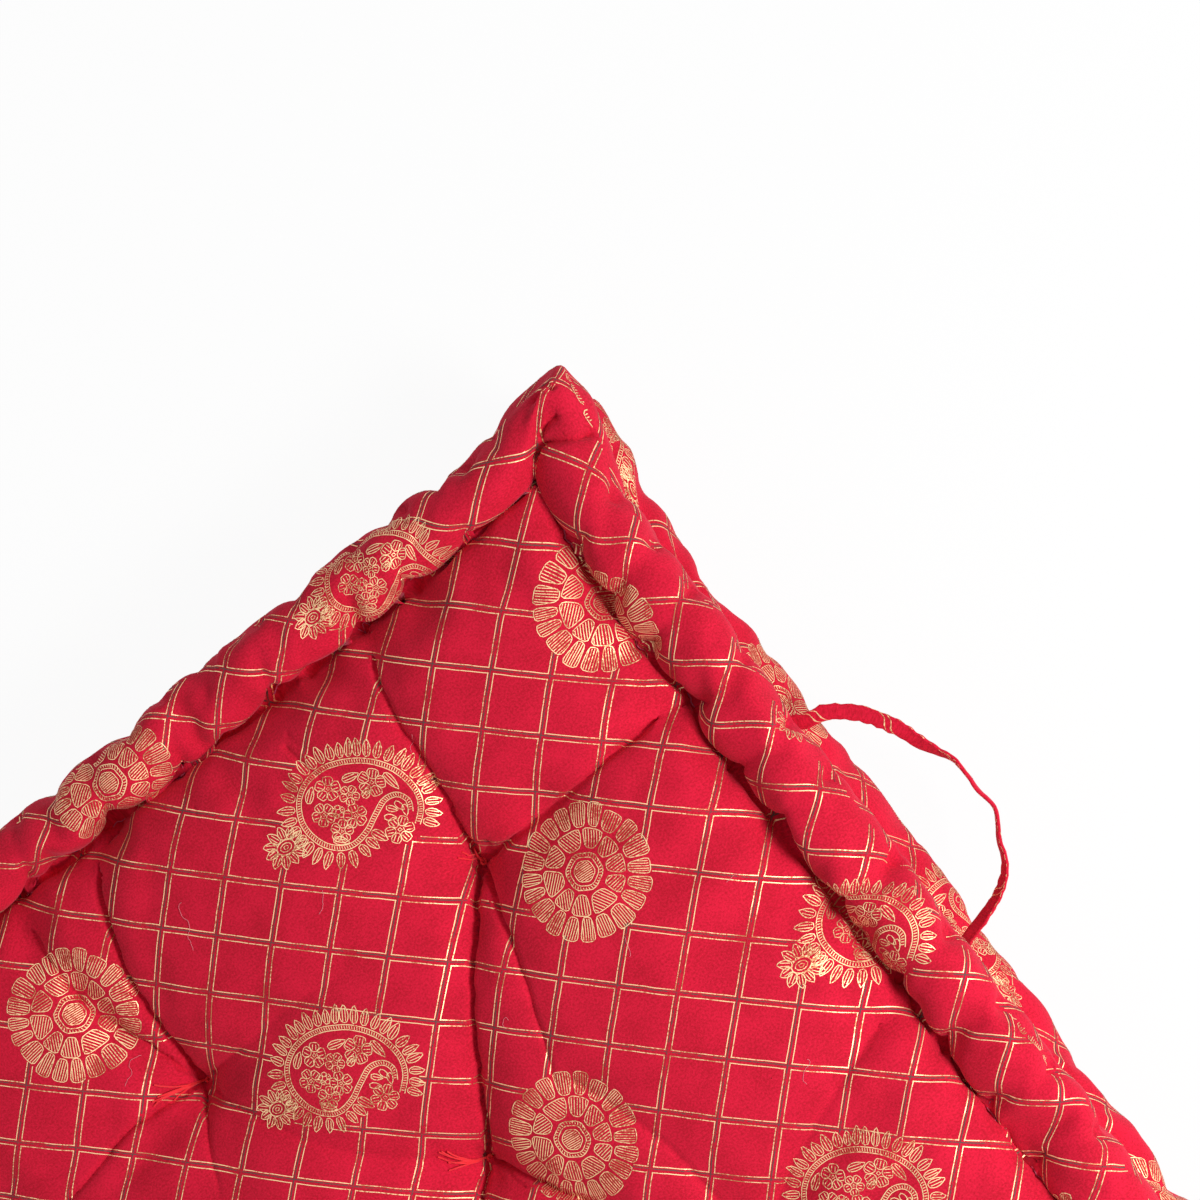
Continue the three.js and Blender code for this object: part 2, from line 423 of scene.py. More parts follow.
# The filling swells the cover: cloth with a little spare length, and pressure from inside.
filling = {
    "frames": 30, "pressure": 3.2, "quality": 8, "mass": 0.25,
    "tension": 60, "shear": 10, "bending": 0.2, "damping": 5, "air": 2, "pinStiffness": 5,
    "spareRoll": 0.085, "sparePanel": 0.04,        # cloth longer than the sewn line, as a share
    "cap": 24 * mm,                                # the farthest that the cloth may move
    "steady": 0.75, "steadyFull": 25 * mm,         # the filling keeps the face's cloth in place
    "sideShare": 0.85,                             # of the swell, on the boxing and underside
    "firmFrom": 88 * mm, "firm": 0.45,             # above this height the cloth rises less
    "blunt": 24 * mm, "bluntTimes": 14,            # how far and how often the corners are smoothed
}


def swell(piece, start):
    mod = piece.modifiers.new("cloth", "CLOTH")
    cloth = mod.settings
    cloth.quality = filling["quality"]
    cloth.mass = filling["mass"]
    cloth.tension_stiffness = cloth.compression_stiffness = filling["tension"]
    cloth.shear_stiffness = filling["shear"]
    cloth.bending_stiffness = filling["bending"]
    cloth.tension_damping = cloth.compression_damping = cloth.shear_damping = filling["damping"]
    cloth.air_damping = filling["air"]
    cloth.use_pressure = True
    cloth.uniform_pressure_force = filling["pressure"]
    cloth.effector_weights.gravity = 0
    cloth.vertex_group_mass = "sewn"
    cloth.pin_stiffness = filling["pinStiffness"]
    cloth.vertex_group_shrink = "tautCloth"
    cloth.shrink_min = -filling["spareRoll"]
    cloth.shrink_max = -filling["sparePanel"]
    mod.collision_settings.use_collision = False
    scene.frame_start, scene.frame_end = 1, filling["frames"]
    mod.point_cache.frame_start, mod.point_cache.frame_end = 1, filling["frames"]
    for f in range(1, filling["frames"] + 1):
        scene.frame_set(f)
    plainMesh(piece)
    scene.frame_set(1)
    points = readPoints(piece.data)
    move = points - (start + middle)
    far = np.linalg.norm(move, axis=1)
    inFromSeam = insideSeam(cutP, cutQ).ravel()
    onPanel = smoothstep(rollCloth, rollCloth + filling["steadyFull"], inFromSeam)
    move[topCount:] *= filling["sideShare"]
    move[:topCount, :2] *= (1 - filling["steady"] * onPanel)[:, None]
    points = start + middle + move * np.minimum(1, filling["cap"] / np.maximum(far, 1e-9))[:, None]
    over = np.maximum(points[:, 2] - filling["firmFrom"], 0)
    points[:, 2] -= over * filling["firm"]
    writePoints(piece.data, points)
    print("cloth moved", round(far.mean() / mm, 1), "mm on average,", round(far.max() / mm, 1), "at most")


start = pinCover()
swell(cushion, start)

# each crease: its path in plan, its depth at both ends and the half width of its soft trough, all in
# mm, and how deep the sharp fold along its bottom is, as a share
creases = [
    (((85, 104), (60, 70), (44, 49), (17, 9), (5, -3)), 8, 7, 8, 1.0),
    (((85, 104), (80, 65), (70, 31), (59, 6)), 8, 1, 7, 0.8),
    (((85, 104), (96, 145), (102, 195), (110, 222)), 7, 5, 7, 0.9),
    (((85, 104), (110, 103), (136, 103), (182, 106), (206, 104)), 7, 6, 9, 0.8),
    (((-81, 102), (-76, 139), (-70, 169), (-58, 203), (-41, 219)), 8, 6, 7, 1.0),
    (((-81, 102), (-86, 127), (-97, 160), (-100, 219)), 6, 4, 7, 0.6),
    (((80, 220), (56, 203), (60, 182), (64, 154)), 5, 0, 8, 0.5),
    (((-81, 102), (-56, 102), (-27, 103), (14, 101)), 7, 1, 11, 0.3),
    (((5, -3), (40, -48), (84, -107)), 7, 7, 8, 0.9),
    (((5, -3), (12, -14), (19, -30)), 6, 0, 5, 0.8),
    (((-81, 102), (-90, 74), (-98, 52)), 7, 0, 8, 0.7),
    (((-81, 102), (-117, 104), (-160, 95), (-206, 92)), 6, 3, 8, 0.8),
    (((5, -3), (-40, 40), (-81, 102)), 4, 5, 10, 0.4),
    (((5, -3), (-42, -60), (-82, -104)), 7, 7, 9, 0.8),
    (((84, -107), (108, -92), (131, -80), (173, -64), (206, -53)), 4, 5, 9, 0.4),
    (((66, 2), (76, -22), (84, -52), (84, -107)), 2, 7, 9, 0.5),
    (((84, -107), (96, -150), (104, -221)), 7, 4, 8, 0.9),
    (((-82, -104), (-95, -160), (-100, -221)), 7, 5, 8, 0.9),
    (((-82, -104), (-130, -100), (-206, -110)), 7, 4, 9, 0.8),
    (((51, 196), (56, 173), (60, 160), (63, 142)), 2, 0, 5, 0.8),
    (((1, 224), (0, 199), (-3, 191)), 5, 0, 5, 0.7),
    (((107, 225), (109, 201), (106, 181)), 3, 0, 5, 0.5),
    # three on the corner of the roll, which have no soft trough
    (((209, 222), (214, 224), (220, 226), (226, 226)), 6, 4, 4, 1.0),
    (((213, 223), (225, 219), (232, 217), (238, 217)), 7, 5, 4, 0.9),
    (((219, 244), (224, 244), (227, 240), (230, 236)), 4, 4, 3, 0.9),
]
cornerCreases = 3
folds = {
    "pathStep": 6 * mm, "fineStep": 3 * mm, "wobble": 0.5 * mm,      # of a crease's line
    "soft": 1.55, "softFall": 1.3, "shallower": 0.4,                 # the trough, and in mid run
    "sharp": 8 * mm, "sharpWide": 1.25 * mm,                         # the fold at its bottom
    "usualWide": 8, "usualDeep": 7 * mm, "deepest": 1.3,
    "lip": 0.24, "lipAt": 5, "lipWide": 3.2,                         # the swelling beside it, mm
    "narrow": 4.5, "strong": 0.85,               # what is as narrow and as sharp runs on over the roll
    "valleyDeep": 9 * mm, "valleyWide": 2.8 * mm, "panelLip": 7 * mm, "rollLip": 1.2 * mm,
    "valleyLipAt": 10.5, "valleyLipWide": 7,
    "rollDeep": 8 * mm, "rollWide": 3.2 * mm, "rollFall": 0.9,       # where a stitch draws the roll in
    "seamDeep": 5 * mm, "drawWobble": 0.4 * mm,
    "rollReach": (0.5, 0.9), "seamReach": (0.6, 0.8),                # as shares of the roll's cloth
    "pinch": 4.5 * mm, "pinchWide": 6 * mm, "bulge": 0.35,           # on the roll's outside
    "starTuft": 5, "starStitch": 2, "starFan": 0.9,                  # small puckers, and their spread
    "starLength": (10, 24), "starDeep": (2, 5.5), "starWide": 3.5,
    "lump": 0.7 * mm, "lumpEvery": 26 * mm, "lumpNone": 1 * mm, "lumpFull": 10 * mm,
    "seamGroove": 1.0 * mm,
    # faces this near to a fold that is at least this sharp are cut finer
    "finer": ((6 * mm, 0.3), (2.4 * mm, 0.6)),
}


def cutPlace(x, y):
    # where a place in plan lies on the flat cut of the face
    outs = []
    for at, rimHalf, wide, panel in ((abs(x), rimX, wideX, panelX), (abs(y), rimY, wideY, panelY)):
        angle = math.acos(np.clip(1 - (rimHalf - at) / wide, -1, 1))
        turn = (math.degrees(angle) - cover["seamAngle"]) / (cover["valleyAngle"] - cover["seamAngle"])
        outs.append(turn * rollCloth if at > panel else math.inf)
    inner = min(outs)
    if inner == math.inf:
        return x * cover["slack"], y * cover["slack"]
    turn = inner / rollCloth * (cover["valleyAngle"] - cover["seamAngle"])
    inset = 1 - math.cos(math.radians(cover["seamAngle"] + turn))
    place = []
    for at, own, rimHalf, wide, cutHalf in ((x, outs[0], rimX, wideX, cutX),
                                            (y, outs[1], rimY, wideY, cutY)):
        if own == inner:
            place.append(math.copysign(cutHalf - inner, at))
        else:
            place.append(at * (cutHalf - inner) / (rimHalf - wide * inset))
    return tuple(place)


def cutPath(path):
    return [cutPlace(x * mm, y * mm) for x, y in path]


def nearPath(flat, path, wobble=0.0):
    # for points on the flat cut: distance to a path, and how far along it they stand, as a share
    line = smoothPath(np.array(path, float), folds["pathStep"])
    line[1:-1] += rng.uniform(-wobble, wobble, line[1:-1].shape)
    line = smoothPath(line, folds["fineStep"])
    a, b = line[:-1], line[1:]
    ab = b - a
    t = np.clip(((flat[:, None] - a) * ab).sum(-1) / (ab ** 2).sum(-1), 0, 1)
    away = np.linalg.norm(flat[:, None] - (a + t[..., None] * ab), axis=-1)
    best = np.argmin(away, axis=1)
    row = np.arange(len(flat))
    return away[row, best], (best + t[row, best]) / len(ab)


def pucker(x, y, way, length, depth, sharp):
    # one small crease that runs out from a tuft or a stitch
    long = rng.uniform(*folds["starLength"]) * length
    end = (x + long * math.cos(way), y + long * math.sin(way))
    return ((x, y), end), rng.uniform(*folds["starDeep"]) * depth, 0, folds["starWide"], sharp


def starCreases():
    # the small radial puckers round each tuft and each stitch
    rows = []
    for x, y in tufts["places"]:
        for _ in range(folds["starTuft"]):
            rows.append(pucker(x, y, rng.uniform(0, math.tau), 1, 1, 0.8))
    inward = {"right": math.pi, "left": 0, "back": -math.pi / 2, "front": math.pi / 2}
    for side, row in stitchRows.items():
        for run in row:
            x, y = np.array(besideValley(side, run, 0)) / mm
            for _ in range(folds["starStitch"]):
                way = rng.uniform(-folds["starFan"], folds["starFan"]) + inward[side]
                rows.append(pucker(x, y, way, 0.8, 0.7, 0.6))
    return rows


def creaseDepth(share, deepStart, deepEnd):
    # shallower in the middle of its run
    middleShare = 1 - folds["shallower"] * np.sin(np.pi * share)
    return (deepStart + (deepEnd - deepStart) * share) * middleShare * mm


def creaseCover():
    points = readPoints(cushion.data) - middle
    flat = np.stack([cutP.ravel(), cutQ.ravel()], -1)
    face = np.arange(len(points)) < topCount
    onPanel = smoothstep(rollCloth - 2 * mm, rollCloth + 8 * mm, insideSeam(cutP, cutQ).ravel())
    drop = np.zeros(topCount)
    for path, deepStart, deepEnd, width, _ in creases[:-cornerCreases]:
        away, share = nearPath(flat, cutPath(path))
        fall = np.exp(-(away / (width * mm)) ** folds["softFall"])
        drop = np.maximum(drop, creaseDepth(share, deepStart, deepEnd) * fall)
    points[face, 2] -= drop * onPanel * folds["soft"]
    under = np.arange(len(points)) >= topCount + bandCount
    for x, y in tufts["places"]:
        away = np.hypot(points[under, 0] - x * mm, points[under, 1] - y * mm)
        dimple = tufts["underDepth"] * np.exp(-(away / tufts["underWide"]) ** 2) - tufts["underRim"]
        points[under, 2] = np.maximum(points[under, 2], dimple)
    points[:, 2] = np.maximum(points[:, 2], 0)
    # the seam between panel and boxing is a fine groove along the outside of each roll
    seam = [bandAt(0, m) for m in range(rimCount)]
    for axis, half in ((0, panelX), (1, panelY)):
        out = points[seam, axis]
        points[seam, axis] -= np.sign(out) * folds["seamGroove"] * (np.abs(out) > half)
    writePoints(cushion.data, points + middle)
    far = cutX + cutY
    for name, values in (("cutAlong", flat[:, 0]), ("cutAcross", flat[:, 1])):
        layer = cushion.data.attributes.new(name, "FLOAT", "POINT")
        layer.data.foreach_set("value", np.concatenate([values, np.full(len(points) - topCount, far)]))


def readFloat(mesh, name):
    values = np.zeros(len(mesh.vertices), np.float32)
    mesh.attributes[name].data.foreach_get("value", values)
    return values.astype(float)


def finerNear(reach, leastSharp):
    # cuts the faces beside the folds finer, so that a fold can be sharp
    flat = np.stack([readFloat(cushion.data, "cutAlong"), readFloat(cushion.data, "cutAcross")], -1)
    onFace = (np.abs(flat[:, 0]) < cutX) & (np.abs(flat[:, 1]) < cutY)
    close = np.zeros(len(flat), bool)
    for row in creases:
        if row[4] >= leastSharp:
            away = nearPath(flat[onFace], cutPath(row[0]))[0]
            close[onFace] |= away < reach
    work = bmesh.new()
    work.from_mesh(cushion.data)
    edges = [e for e in work.edges if close[e.verts[0].index] and close[e.verts[1].index]]
    bmesh.ops.subdivide_edges(work, edges=edges, cuts=1, use_grid_fill=True)
    work.to_mesh(cushion.data)
    work.free()


def foldPush(flat):
    # how far the valley and the sharp folds press the points of the face in
    fromSeam = insideSeam(flat[:, 0], flat[:, 1])
    onPanel = smoothstep(rollCloth, rollCloth + 5 * mm, fromSeam)
    valley = np.abs(fromSeam - rollCloth)
    beside = np.where(fromSeam > rollCloth, folds["panelLip"], folds["rollLip"])
    push = folds["valleyDeep"] * np.exp(-valley / folds["valleyWide"])
    push -= beside * np.exp(-((valley / mm - folds["valleyLipAt"]) / folds["valleyLipWide"]) ** 2)
    for path, deepStart, deepEnd, width, sharp in starCreases() + creases:
        away, share = nearPath(flat, cutPath(path), folds["wobble"])
        ends = np.clip(creaseDepth(share, deepStart, deepEnd) / folds["usualDeep"], 0, folds["deepest"])
        wide = folds["sharpWide"] * max(1, width / folds["usualWide"])
        lip = folds["lip"] * np.exp(-((away / mm - folds["lipAt"]) / folds["lipWide"]) ** 2)
        reach = onPanel if width > folds["narrow"] or sharp < folds["strong"] else 1.0
        deep = folds["sharp"] * sharp * ends * (np.exp(-away / wide) - lip) * reach
        push = np.where(np.abs(deep) > np.abs(push), deep, push)
    return push


def drawIn(side, flat, push):
    # a stitch draws in the roll across its run, and a shorter draw comes up from the seam
    out, sign = outOf[side]
    along = 1 - out
    half = (panelX, panelY)[out] * cover["slack"]
    cutHalf, rimHalf = ((cutX, rimX), (cutY, rimY))[along]
    for run, lean in zip(stitchRows[side], stitchLeans[side]):
        reach = rng.uniform(*folds["rollReach"])
        first, last = [0, 0], [0, 0]
        first[along], first[out] = run * cover["slack"], sign * (half - 1 * mm)
        last[along] = run * (cover["slack"] * (1 - reach) + cutHalf / rimHalf * reach) + lean * reach
        last[out] = sign * (half + reach * rollCloth)
        away, share = nearPath(flat, [first, last], folds["drawWobble"])
        deep = folds["rollDeep"] * (1 - share) ** folds["rollFall"]
        push = np.maximum(push, deep * np.exp(-away / folds["rollWide"]))
        first[along], first[out] = run * cutHalf / rimHalf + lean, sign * (half + rollCloth)
        last[along] = first[along] - lean / 3
        last[out] = sign * (half + rollCloth * rng.uniform(*folds["seamReach"]))
        away, share = nearPath(flat, [first, last], folds["drawWobble"])
        push = np.maximum(push, folds["seamDeep"] * (1 - share) * np.exp(-away / folds["rollWide"]))
    return push


def pinchOutside(side, points, normals):
    # the outside of both rolls is drawn in at each stitch and bulges between them
    out, sign = outOf[side]
    pinch = np.zeros(len(points))
    for run, lean in zip(stitchRows[side], stitchLeans[side]):
        away = np.abs(points[:, 1 - out] - run - lean)
        pinch = np.maximum(pinch, np.exp(-away / folds["pinchWide"]))
    outward = np.clip(sign * normals[:, out], 0, 1)
    onSide = smoothstep((panelX, panelY)[out], (rimX, rimY)[out], sign * points[:, out])
    return folds["pinch"] * (pinch - folds["bulge"]) * outward * onSide


def foldCover():
    mesh = cushion.data
    points = readPoints(mesh)
    normals = np.zeros(len(points) * 3, np.float32)
    mesh.vertex_normals.foreach_get("vector", normals)
    normals = normals.reshape(-1, 3).astype(float)
    flat = np.stack([readFloat(mesh, "cutAlong"), readFloat(mesh, "cutAcross")], -1)
    picked = np.nonzero((np.abs(flat[:, 0]) < cutX) & (np.abs(flat[:, 1]) < cutY))[0]
    push = foldPush(flat[picked])
    for side in stitchRows:
        push = drawIn(side, flat[picked], push)
    press = sum(pinchOutside(side, points, normals) for side in stitchRows)
    press[picked] += push
    points -= normals * press[:, None]
    scale = 1 / folds["lumpEvery"]
    lump = np.array([noise.noise(Vector(p) * scale) for p in points])
    lump = lump * folds["lump"] * smoothstep(folds["lumpNone"], folds["lumpFull"], points[:, 2])
    points += normals * lump[:, None]
    points[:, 2] = np.maximum(points[:, 2], 0)
    writePoints(mesh, points)
    for name in ("cutAlong", "cutAcross"):
        mesh.attributes.remove(mesh.attributes[name])
    return points


def roundCorners():
    # the four corners are blunt where the seams meet
    work = bmesh.new()
    work.from_mesh(cushion.data)
    work.verts.ensure_lookup_table()
    for i in (0, cellsX):
        for j in (0, cellsY):
            for tip in (work.verts[topAt(i, j)].co.copy(), work.verts[underAt(i, j)].co.copy()):
                near = [v for v in work.verts if (v.co - tip).length < filling["blunt"]]
                for _ in range(filling["bluntTimes"]):
                    bmesh.ops.smooth_vert(work, verts=near, factor=0.5,
                                          use_axis_x=True, use_axis_y=True, use_axis_z=True)
    work.to_mesh(cushion.data)
    work.free()


roundCorners()
creaseCover()
smooth = cushion.modifiers.new("smooth", "SUBSURF")
smooth.levels = smooth.render_levels = 1
smooth.uv_smooth = "PRESERVE_CORNERS"
plainMesh(cushion)
for reach, leastSharp in folds["finer"]:
    finerNear(reach, leastSharp)
points = foldCover()
cushion.data.polygons.foreach_set("use_smooth", [True] * len(cushion.data.polygons))
print("cover box", points.min(0).round(4), points.max(0).round(4), len(cushion.data.polygons), "faces")

# The print. Each motif is drawn flat as strokes of ink, in mm, and Geometry Nodes stamps it over the
# cut cloth and lays it on the sewn cover through the cover's own UV map.
ink = {
    "step": 1.7 * mm,                    # between points along a stroke
    "line": 0.4, "hatch": 0.36, "rib": 0.54, "ribAside": 0.35,       # stroke widths and place, mm
    "hatchEnd": (-0.2, 0.3), "hatchSkew": 0.12, "hatchLeast": 0.6,   # unevenness of the fill lines, mm
    "lift": 0.16 * mm, "brownLift": 0.7,                             # above the cloth; brown's share
    "cellX": 39.9 * mm, "cellY": 37.2 * mm,            # diagonals of one cell of the grid
    "band": 2.7,                         # between the outlines of two cells, mm
    "turn": -38, "unevenTurn": 1.5,      # of the motifs against the cushion's X, in degrees
    "motifs": 60, "cells": 200,          # rows and columns of each lattice
    "overRun": 36 * mm,                  # how far past a part's edge motifs are stamped
    "wander": 0.35 * mm, "wanderEvery": 100 / 9 * mm,      # how unevenly the hand-cut lines run
    "clearWithin": 0.2 * mm,             # of a motif's outline, the grid is left out
}


def turned(points, angle):
    c, s = math.cos(angle), math.sin(angle)
    return np.asarray(points, float) @ np.array([[c, s], [-s, c]])


def rounded(points):
    # a corner-cut outline, as a hand-cut block leaves it
    p = np.asarray(points, float)
    after = np.roll(p, -1, axis=0)
    return np.stack([p * 0.84 + after * 0.16, p * 0.16 + after * 0.84], 1).reshape(-1, 2)


class Strokes:
    # collects flat ribbons of ink, in metres
    def __init__(self):
        self.points, self.faces = [], []

    def add(self, path, width, closed=False):
        p = np.asarray(path, float) * mm
        if closed:
            p = np.concatenate([p, p[:1]])
        p = evenSteps(p, ink["step"])
        along = np.gradient(p, axis=0)
        if closed:
            along[0] = along[-1] = p[1] - p[-2]
        side = np.stack([-along[:, 1], along[:, 0]], -1)
        side /= np.maximum(np.linalg.norm(side, axis=1), 1e-12)[:, None]
        base = len(self.points)
        for centre, out in zip(p, side * width * mm / 2):
            self.points += [(*(centre - out), 0), (*(centre + out), 0)]
        for k in range(len(p) - 1):
            a = base + 2 * k
            self.faces.append((a, a + 2, a + 3, a + 1))

    def hatch(self, outline, angle, pitch, inset=0.55):
        # parallel strokes that fill a closed outline
        level = turned(outline, -angle)
        after = np.roll(level, -1, axis=0)
        low, top = level[:, 1].min(), level[:, 1].max()
        count = max(1, int(round((top - low) / pitch)) - 1)
        for k in range(count):
            y = low + (top - low) * (k + 1) / (count + 1)
            hit = (level[:, 1] - y) * (after[:, 1] - y) < 0
            a, b = level[hit], after[hit]
            xs = np.sort(a[:, 0] + (y - a[:, 1]) / (b[:, 1] - a[:, 1]) * (b[:, 0] - a[:, 0]))
            for x0, x1 in zip(xs[::2], xs[1::2]):
                x0 = x0 + inset + rng.uniform(*ink["hatchEnd"])
                x1 = x1 - inset - rng.uniform(*ink["hatchEnd"])
                if x1 - x0 > ink["hatchLeast"]:
                    line = [(x0, y), (x1, y + rng.uniform(-ink["hatchSkew"], ink["hatchSkew"]))]
                    self.add(turned(line, angle), ink["hatch"])

    def mesh(self, name):
        return meshObject(name, self.points, self.faces)


flowerShape = {
    "rings": (9.6, 7.4, 5.4), "eye": 5.2, "hexagonTurn": 8, "eyeHatch": 35,      # mm and degrees
    "ticks": 36, "tick": (7.3, 8.5), "tickLean": 0.06,
    # each ring of petals: how many, root, tip, half gap and pitch of the fill lines in mm, how much
    # shorter a petal may be, and how far its lines may lean
    "petals": ((10, 10.3, 19.8, 0.65, 1.25, 0.9, (0.1, 1.2)),
               (20, 20.3, 31.8, 0.8, 1.2, 2.0, (-0.08, 0.08))),
    "uneven": (0.8, 1.25),               # of the petals' widths
    "longer": 0.4, "rootShift": (-0.1, 0.7), "leastHalf": 0.3,
}


def hexagon(radius):
    corners = np.radians(np.arange(0, 360, 60) + flowerShape["hexagonTurn"])
    return rounded([turned((radius, 0), a) for a in corners])


def petalOutline(near, far, spread, gap):
    # half a blunt wedge, from its root to its tip, and its mirror image
    half = [(near, near * spread * 0.7 - gap), (near + 1.4, (near + 1.4) * spread * 0.96 - gap),
            (far - 2.6, (far - 2.6) * spread * 1.02 - gap), (far - 0.6, far * spread * 0.9 - gap),
            (far, far * spread * 0.5 - gap)]
    half = [(x, max(y, flowerShape["leastHalf"])) for x, y in half]
    return rounded([(x, -y) for x, y in half] + half[::-1])


def drawFlower():
    drawing = Strokes()
    f = flowerShape
    for radius in f["rings"]:
        drawing.add(hexagon(radius), ink["line"], closed=True)
    drawing.hatch(hexagon(f["eye"]), math.radians(f["eyeHatch"]), 1.0)
    for k in range(f["ticks"]):
        a = math.radians(360 / f["ticks"] * k)
        tick = [turned((f["tick"][0], 0), a), turned((f["tick"][1], 0), a + f["tickLean"])]
        drawing.add(tick, ink["hatch"])
    for count, root, tip, gap, pitch, shorter, lean in f["petals"]:
        shares = rng.uniform(*f["uneven"], count)
        ends = np.concatenate([[0], np.cumsum(shares)]) / shares.sum() * math.tau
        for k in range(count):
            a, spread = (ends[k] + ends[k + 1]) / 2, (ends[k + 1] - ends[k]) / 2
            far = tip + rng.uniform(-shorter, f["longer"])
            near = root + rng.uniform(*f["rootShift"])
            petal = turned(petalOutline(near, far, spread, gap), a)
            drawing.add(petal, ink["line"], True)
            drawing.hatch(petal, a + rng.uniform(*lean), pitch)
    return drawing.mesh("flower")


def drawLeaf(drawing, root, angle, length, wide, lines=2):
    shape = [(0, -0.25), (0.3, -0.5), (0.62, -0.42), (1.0, 0), (0.62, 0.42), (0.3, 0.5), (0, 0.25)]
    leaf = np.array([(x * length, y * wide) for x, y in shape])
    body = rounded(leaf)
    keepTip = leaf[3]
    body[np.argmin(np.linalg.norm(body - keepTip, axis=1))] = keepTip
    body = turned(body, angle) + np.asarray(root)
    drawing.add(body, ink["line"], True)
    drawing.hatch(body, angle, wide / (lines + 0.9), inset=0.9)


def drawFloret(drawing, centre, radius, petals, turn):
    eye = [np.asarray(centre) + turned((radius * 0.16, 0), math.radians(72 * k)) for k in range(5)]
    drawing.add(eye, ink["hatch"], True)
    for k in range(petals):
        a = turn + math.tau * k / petals
        wide = radius * math.tan(math.pi / petals) * 0.62
        half = [(radius * 0.25, wide * 0.3), (radius * 0.62, wide), (radius * 0.97, wide * 0.72)]
        petal = rounded([(x, -y) for x, y in half] + [(x, y) for x, y in half[::-1]])
        petal = turned(petal, a) + np.asarray(centre)
        drawing.add(petal, ink["hatch"], True)
        drawing.hatch(petal, a, 1.5, inset=0.8)


paisleyShape = {
    # the ribbon runs from its own flower up and over, round and back into the hook, in mm
    "ribbon": [(27.5, -9), (29.5, 0), (27, 8.5), (19, 16.5), (8, 20.6), (-4, 20.6), (-15, 17),
               (-23, 10.5), (-27, 1.5), (-25.6, -7.5), (-20, -14.8), (-11.5, -19.4), (-2.5, -18.8),
               (4.5, -12.5), (8.6, -4.5), (13, 2.6), (19.2, 5.2), (24, 2.2), (24.6, -3)],
    "ribbonHalf": 1.15, "rungHalf": 0.7,
    "leaves": 33, "leafShare": 0.80, "leafLong": (7.4, 9.2), "leafWide": (3.7, 4.4), "leafLean": 0.12,
    # small flowers: x, y, radius, petals and turn
    "florets": ((-13.4, 7.4, 6.0, 5, 0.3), (-3.4, 4.6, 4.8, 5, 1.1), (-15.2, -4.6, 5.6, 5, 0.9),
                (-6.6, -12.0, 5.4, 5, 0.2), (-0.6, -5.0, 5.6, 5, 0.6), (7.6, 10.8, 6.8, 5, 0.1),
                (-8.4, -3.2, 3.2, 5, 0.5)),
    "hookFloret": (19.6, -11.4, 6.6, 6, 0.2),
    # leaves inside: x, y, way in degrees, length, width, fill lines
    "inside": ((-6.5, 11.4, 24, 9.5, 4, 2), (13.8, 15.2, -48, 10, 4, 2), (-22.6, 0.5, 75, 8.5, 4, 2),
               (-10.5, -16, -8, 8, 4, 2), (3.2, 3.4, 60, 5.5, 4, 2), (13.4, -1.2, -12, 5.8, 3.0, 1),
               (12.6, -5.6, -4, 5.8, 3.0, 1), (17.6, 1.6, -42, 5.8, 3.0, 1),
               (21.8, 0.4, -80, 5.8, 3.0, 1)),
    # the flower at the tail: its middle, its rings as radius and squash, its petals
    "tailAt": (-33, -19.5), "tailTurn": 0.5, "tailRings": ((1.4, 0.6), (3.0, 0.64), (4.7, 0.7)),
    "tailPetals": 11, "tailRoot": (4.5, 3.4), "tailLong": (6.2, 7.6), "tailWide": 4.3, "tailLean": 0.7,
    # the outline that the grid keeps clear of, and how far the body stands from its lattice place
    "clear": [(35, 0), (32.5, 12.5), (23, 22.5), (8, 28), (-8, 28), (-22, 23), (-31, 13.5), (-34.5, 1),
              (-33, -9), (-41, -13), (-43, -23), (-34, -28), (-24, -24), (-9, -27.5), (4, -23),
              (12, -17), (24, -17), (33, -9)],
    "aside": (12 * mm, -5 * mm),
}


def drawPaisley():
    drawing = Strokes()
    p = paisleyShape
    line = smoothPath(p["ribbon"], 0.6)
    along = np.gradient(line, axis=0)
    out = np.stack([-along[:, 1], along[:, 0]], -1)
    out /= np.linalg.norm(out, axis=1)[:, None]
    out = -out if (out[len(out) // 4] @ line[len(out) // 4]) < 0 else out
    for away in (-p["ribbonHalf"], p["ribbonHalf"]):
        drawing.add(line + out * away, ink["line"])
    for k in range(2, len(line) - 2, 2):
        rung = out[k] * p["rungHalf"]
        drawing.add([line[k] - rung, line[k] + rung + along[k] * 0.5], ink["hatch"])
    run = np.concatenate([[0], np.cumsum(np.linalg.norm(np.diff(line, axis=0), axis=1))])
    for at in np.linspace(2, run[-1] * p["leafShare"], p["leaves"]):
        k = int(np.searchsorted(run, at))
        way = math.atan2(out[k][1], out[k][0]) + rng.uniform(-p["leafLean"], p["leafLean"])
        root = line[k] + out[k] * 2.0
        drawLeaf(drawing, root, way, rng.uniform(*p["leafLong"]), rng.uniform(*p["leafWide"]))
    for x, y, radius, petals, turn in p["florets"]:
        drawFloret(drawing, (x, y), radius, petals, turn)
    for x, y, angle, length, wide, lines in p["inside"]:
        drawLeaf(drawing, (x, y), math.radians(angle), length, wide, lines)
    x, y, radius, petals, turn = p["hookFloret"]
    drawFloret(drawing, (x, y), radius, petals, turn)
    tail, tilt = np.array(p["tailAt"]), p["tailTurn"]
    for radius, squash in p["tailRings"]:
        ring = [tail + turned((radius * math.cos(t), radius * squash * math.sin(t)), tilt)
                for t in np.linspace(0, math.tau, 14, endpoint=False)]
        drawing.add(ring, ink["line"], True)
    for k in range(p["tailPetals"]):
        a = tilt + math.tau * (k + 0.5) / p["tailPetals"]
        root = tail + turned((p["tailRoot"][0] * math.cos(a), p["tailRoot"][1] * math.sin(a)), tilt)
        drawLeaf(drawing, root, a + p["tailLean"], rng.uniform(*p["tailLong"]), p["tailWide"])
    return drawing.mesh("paisley")


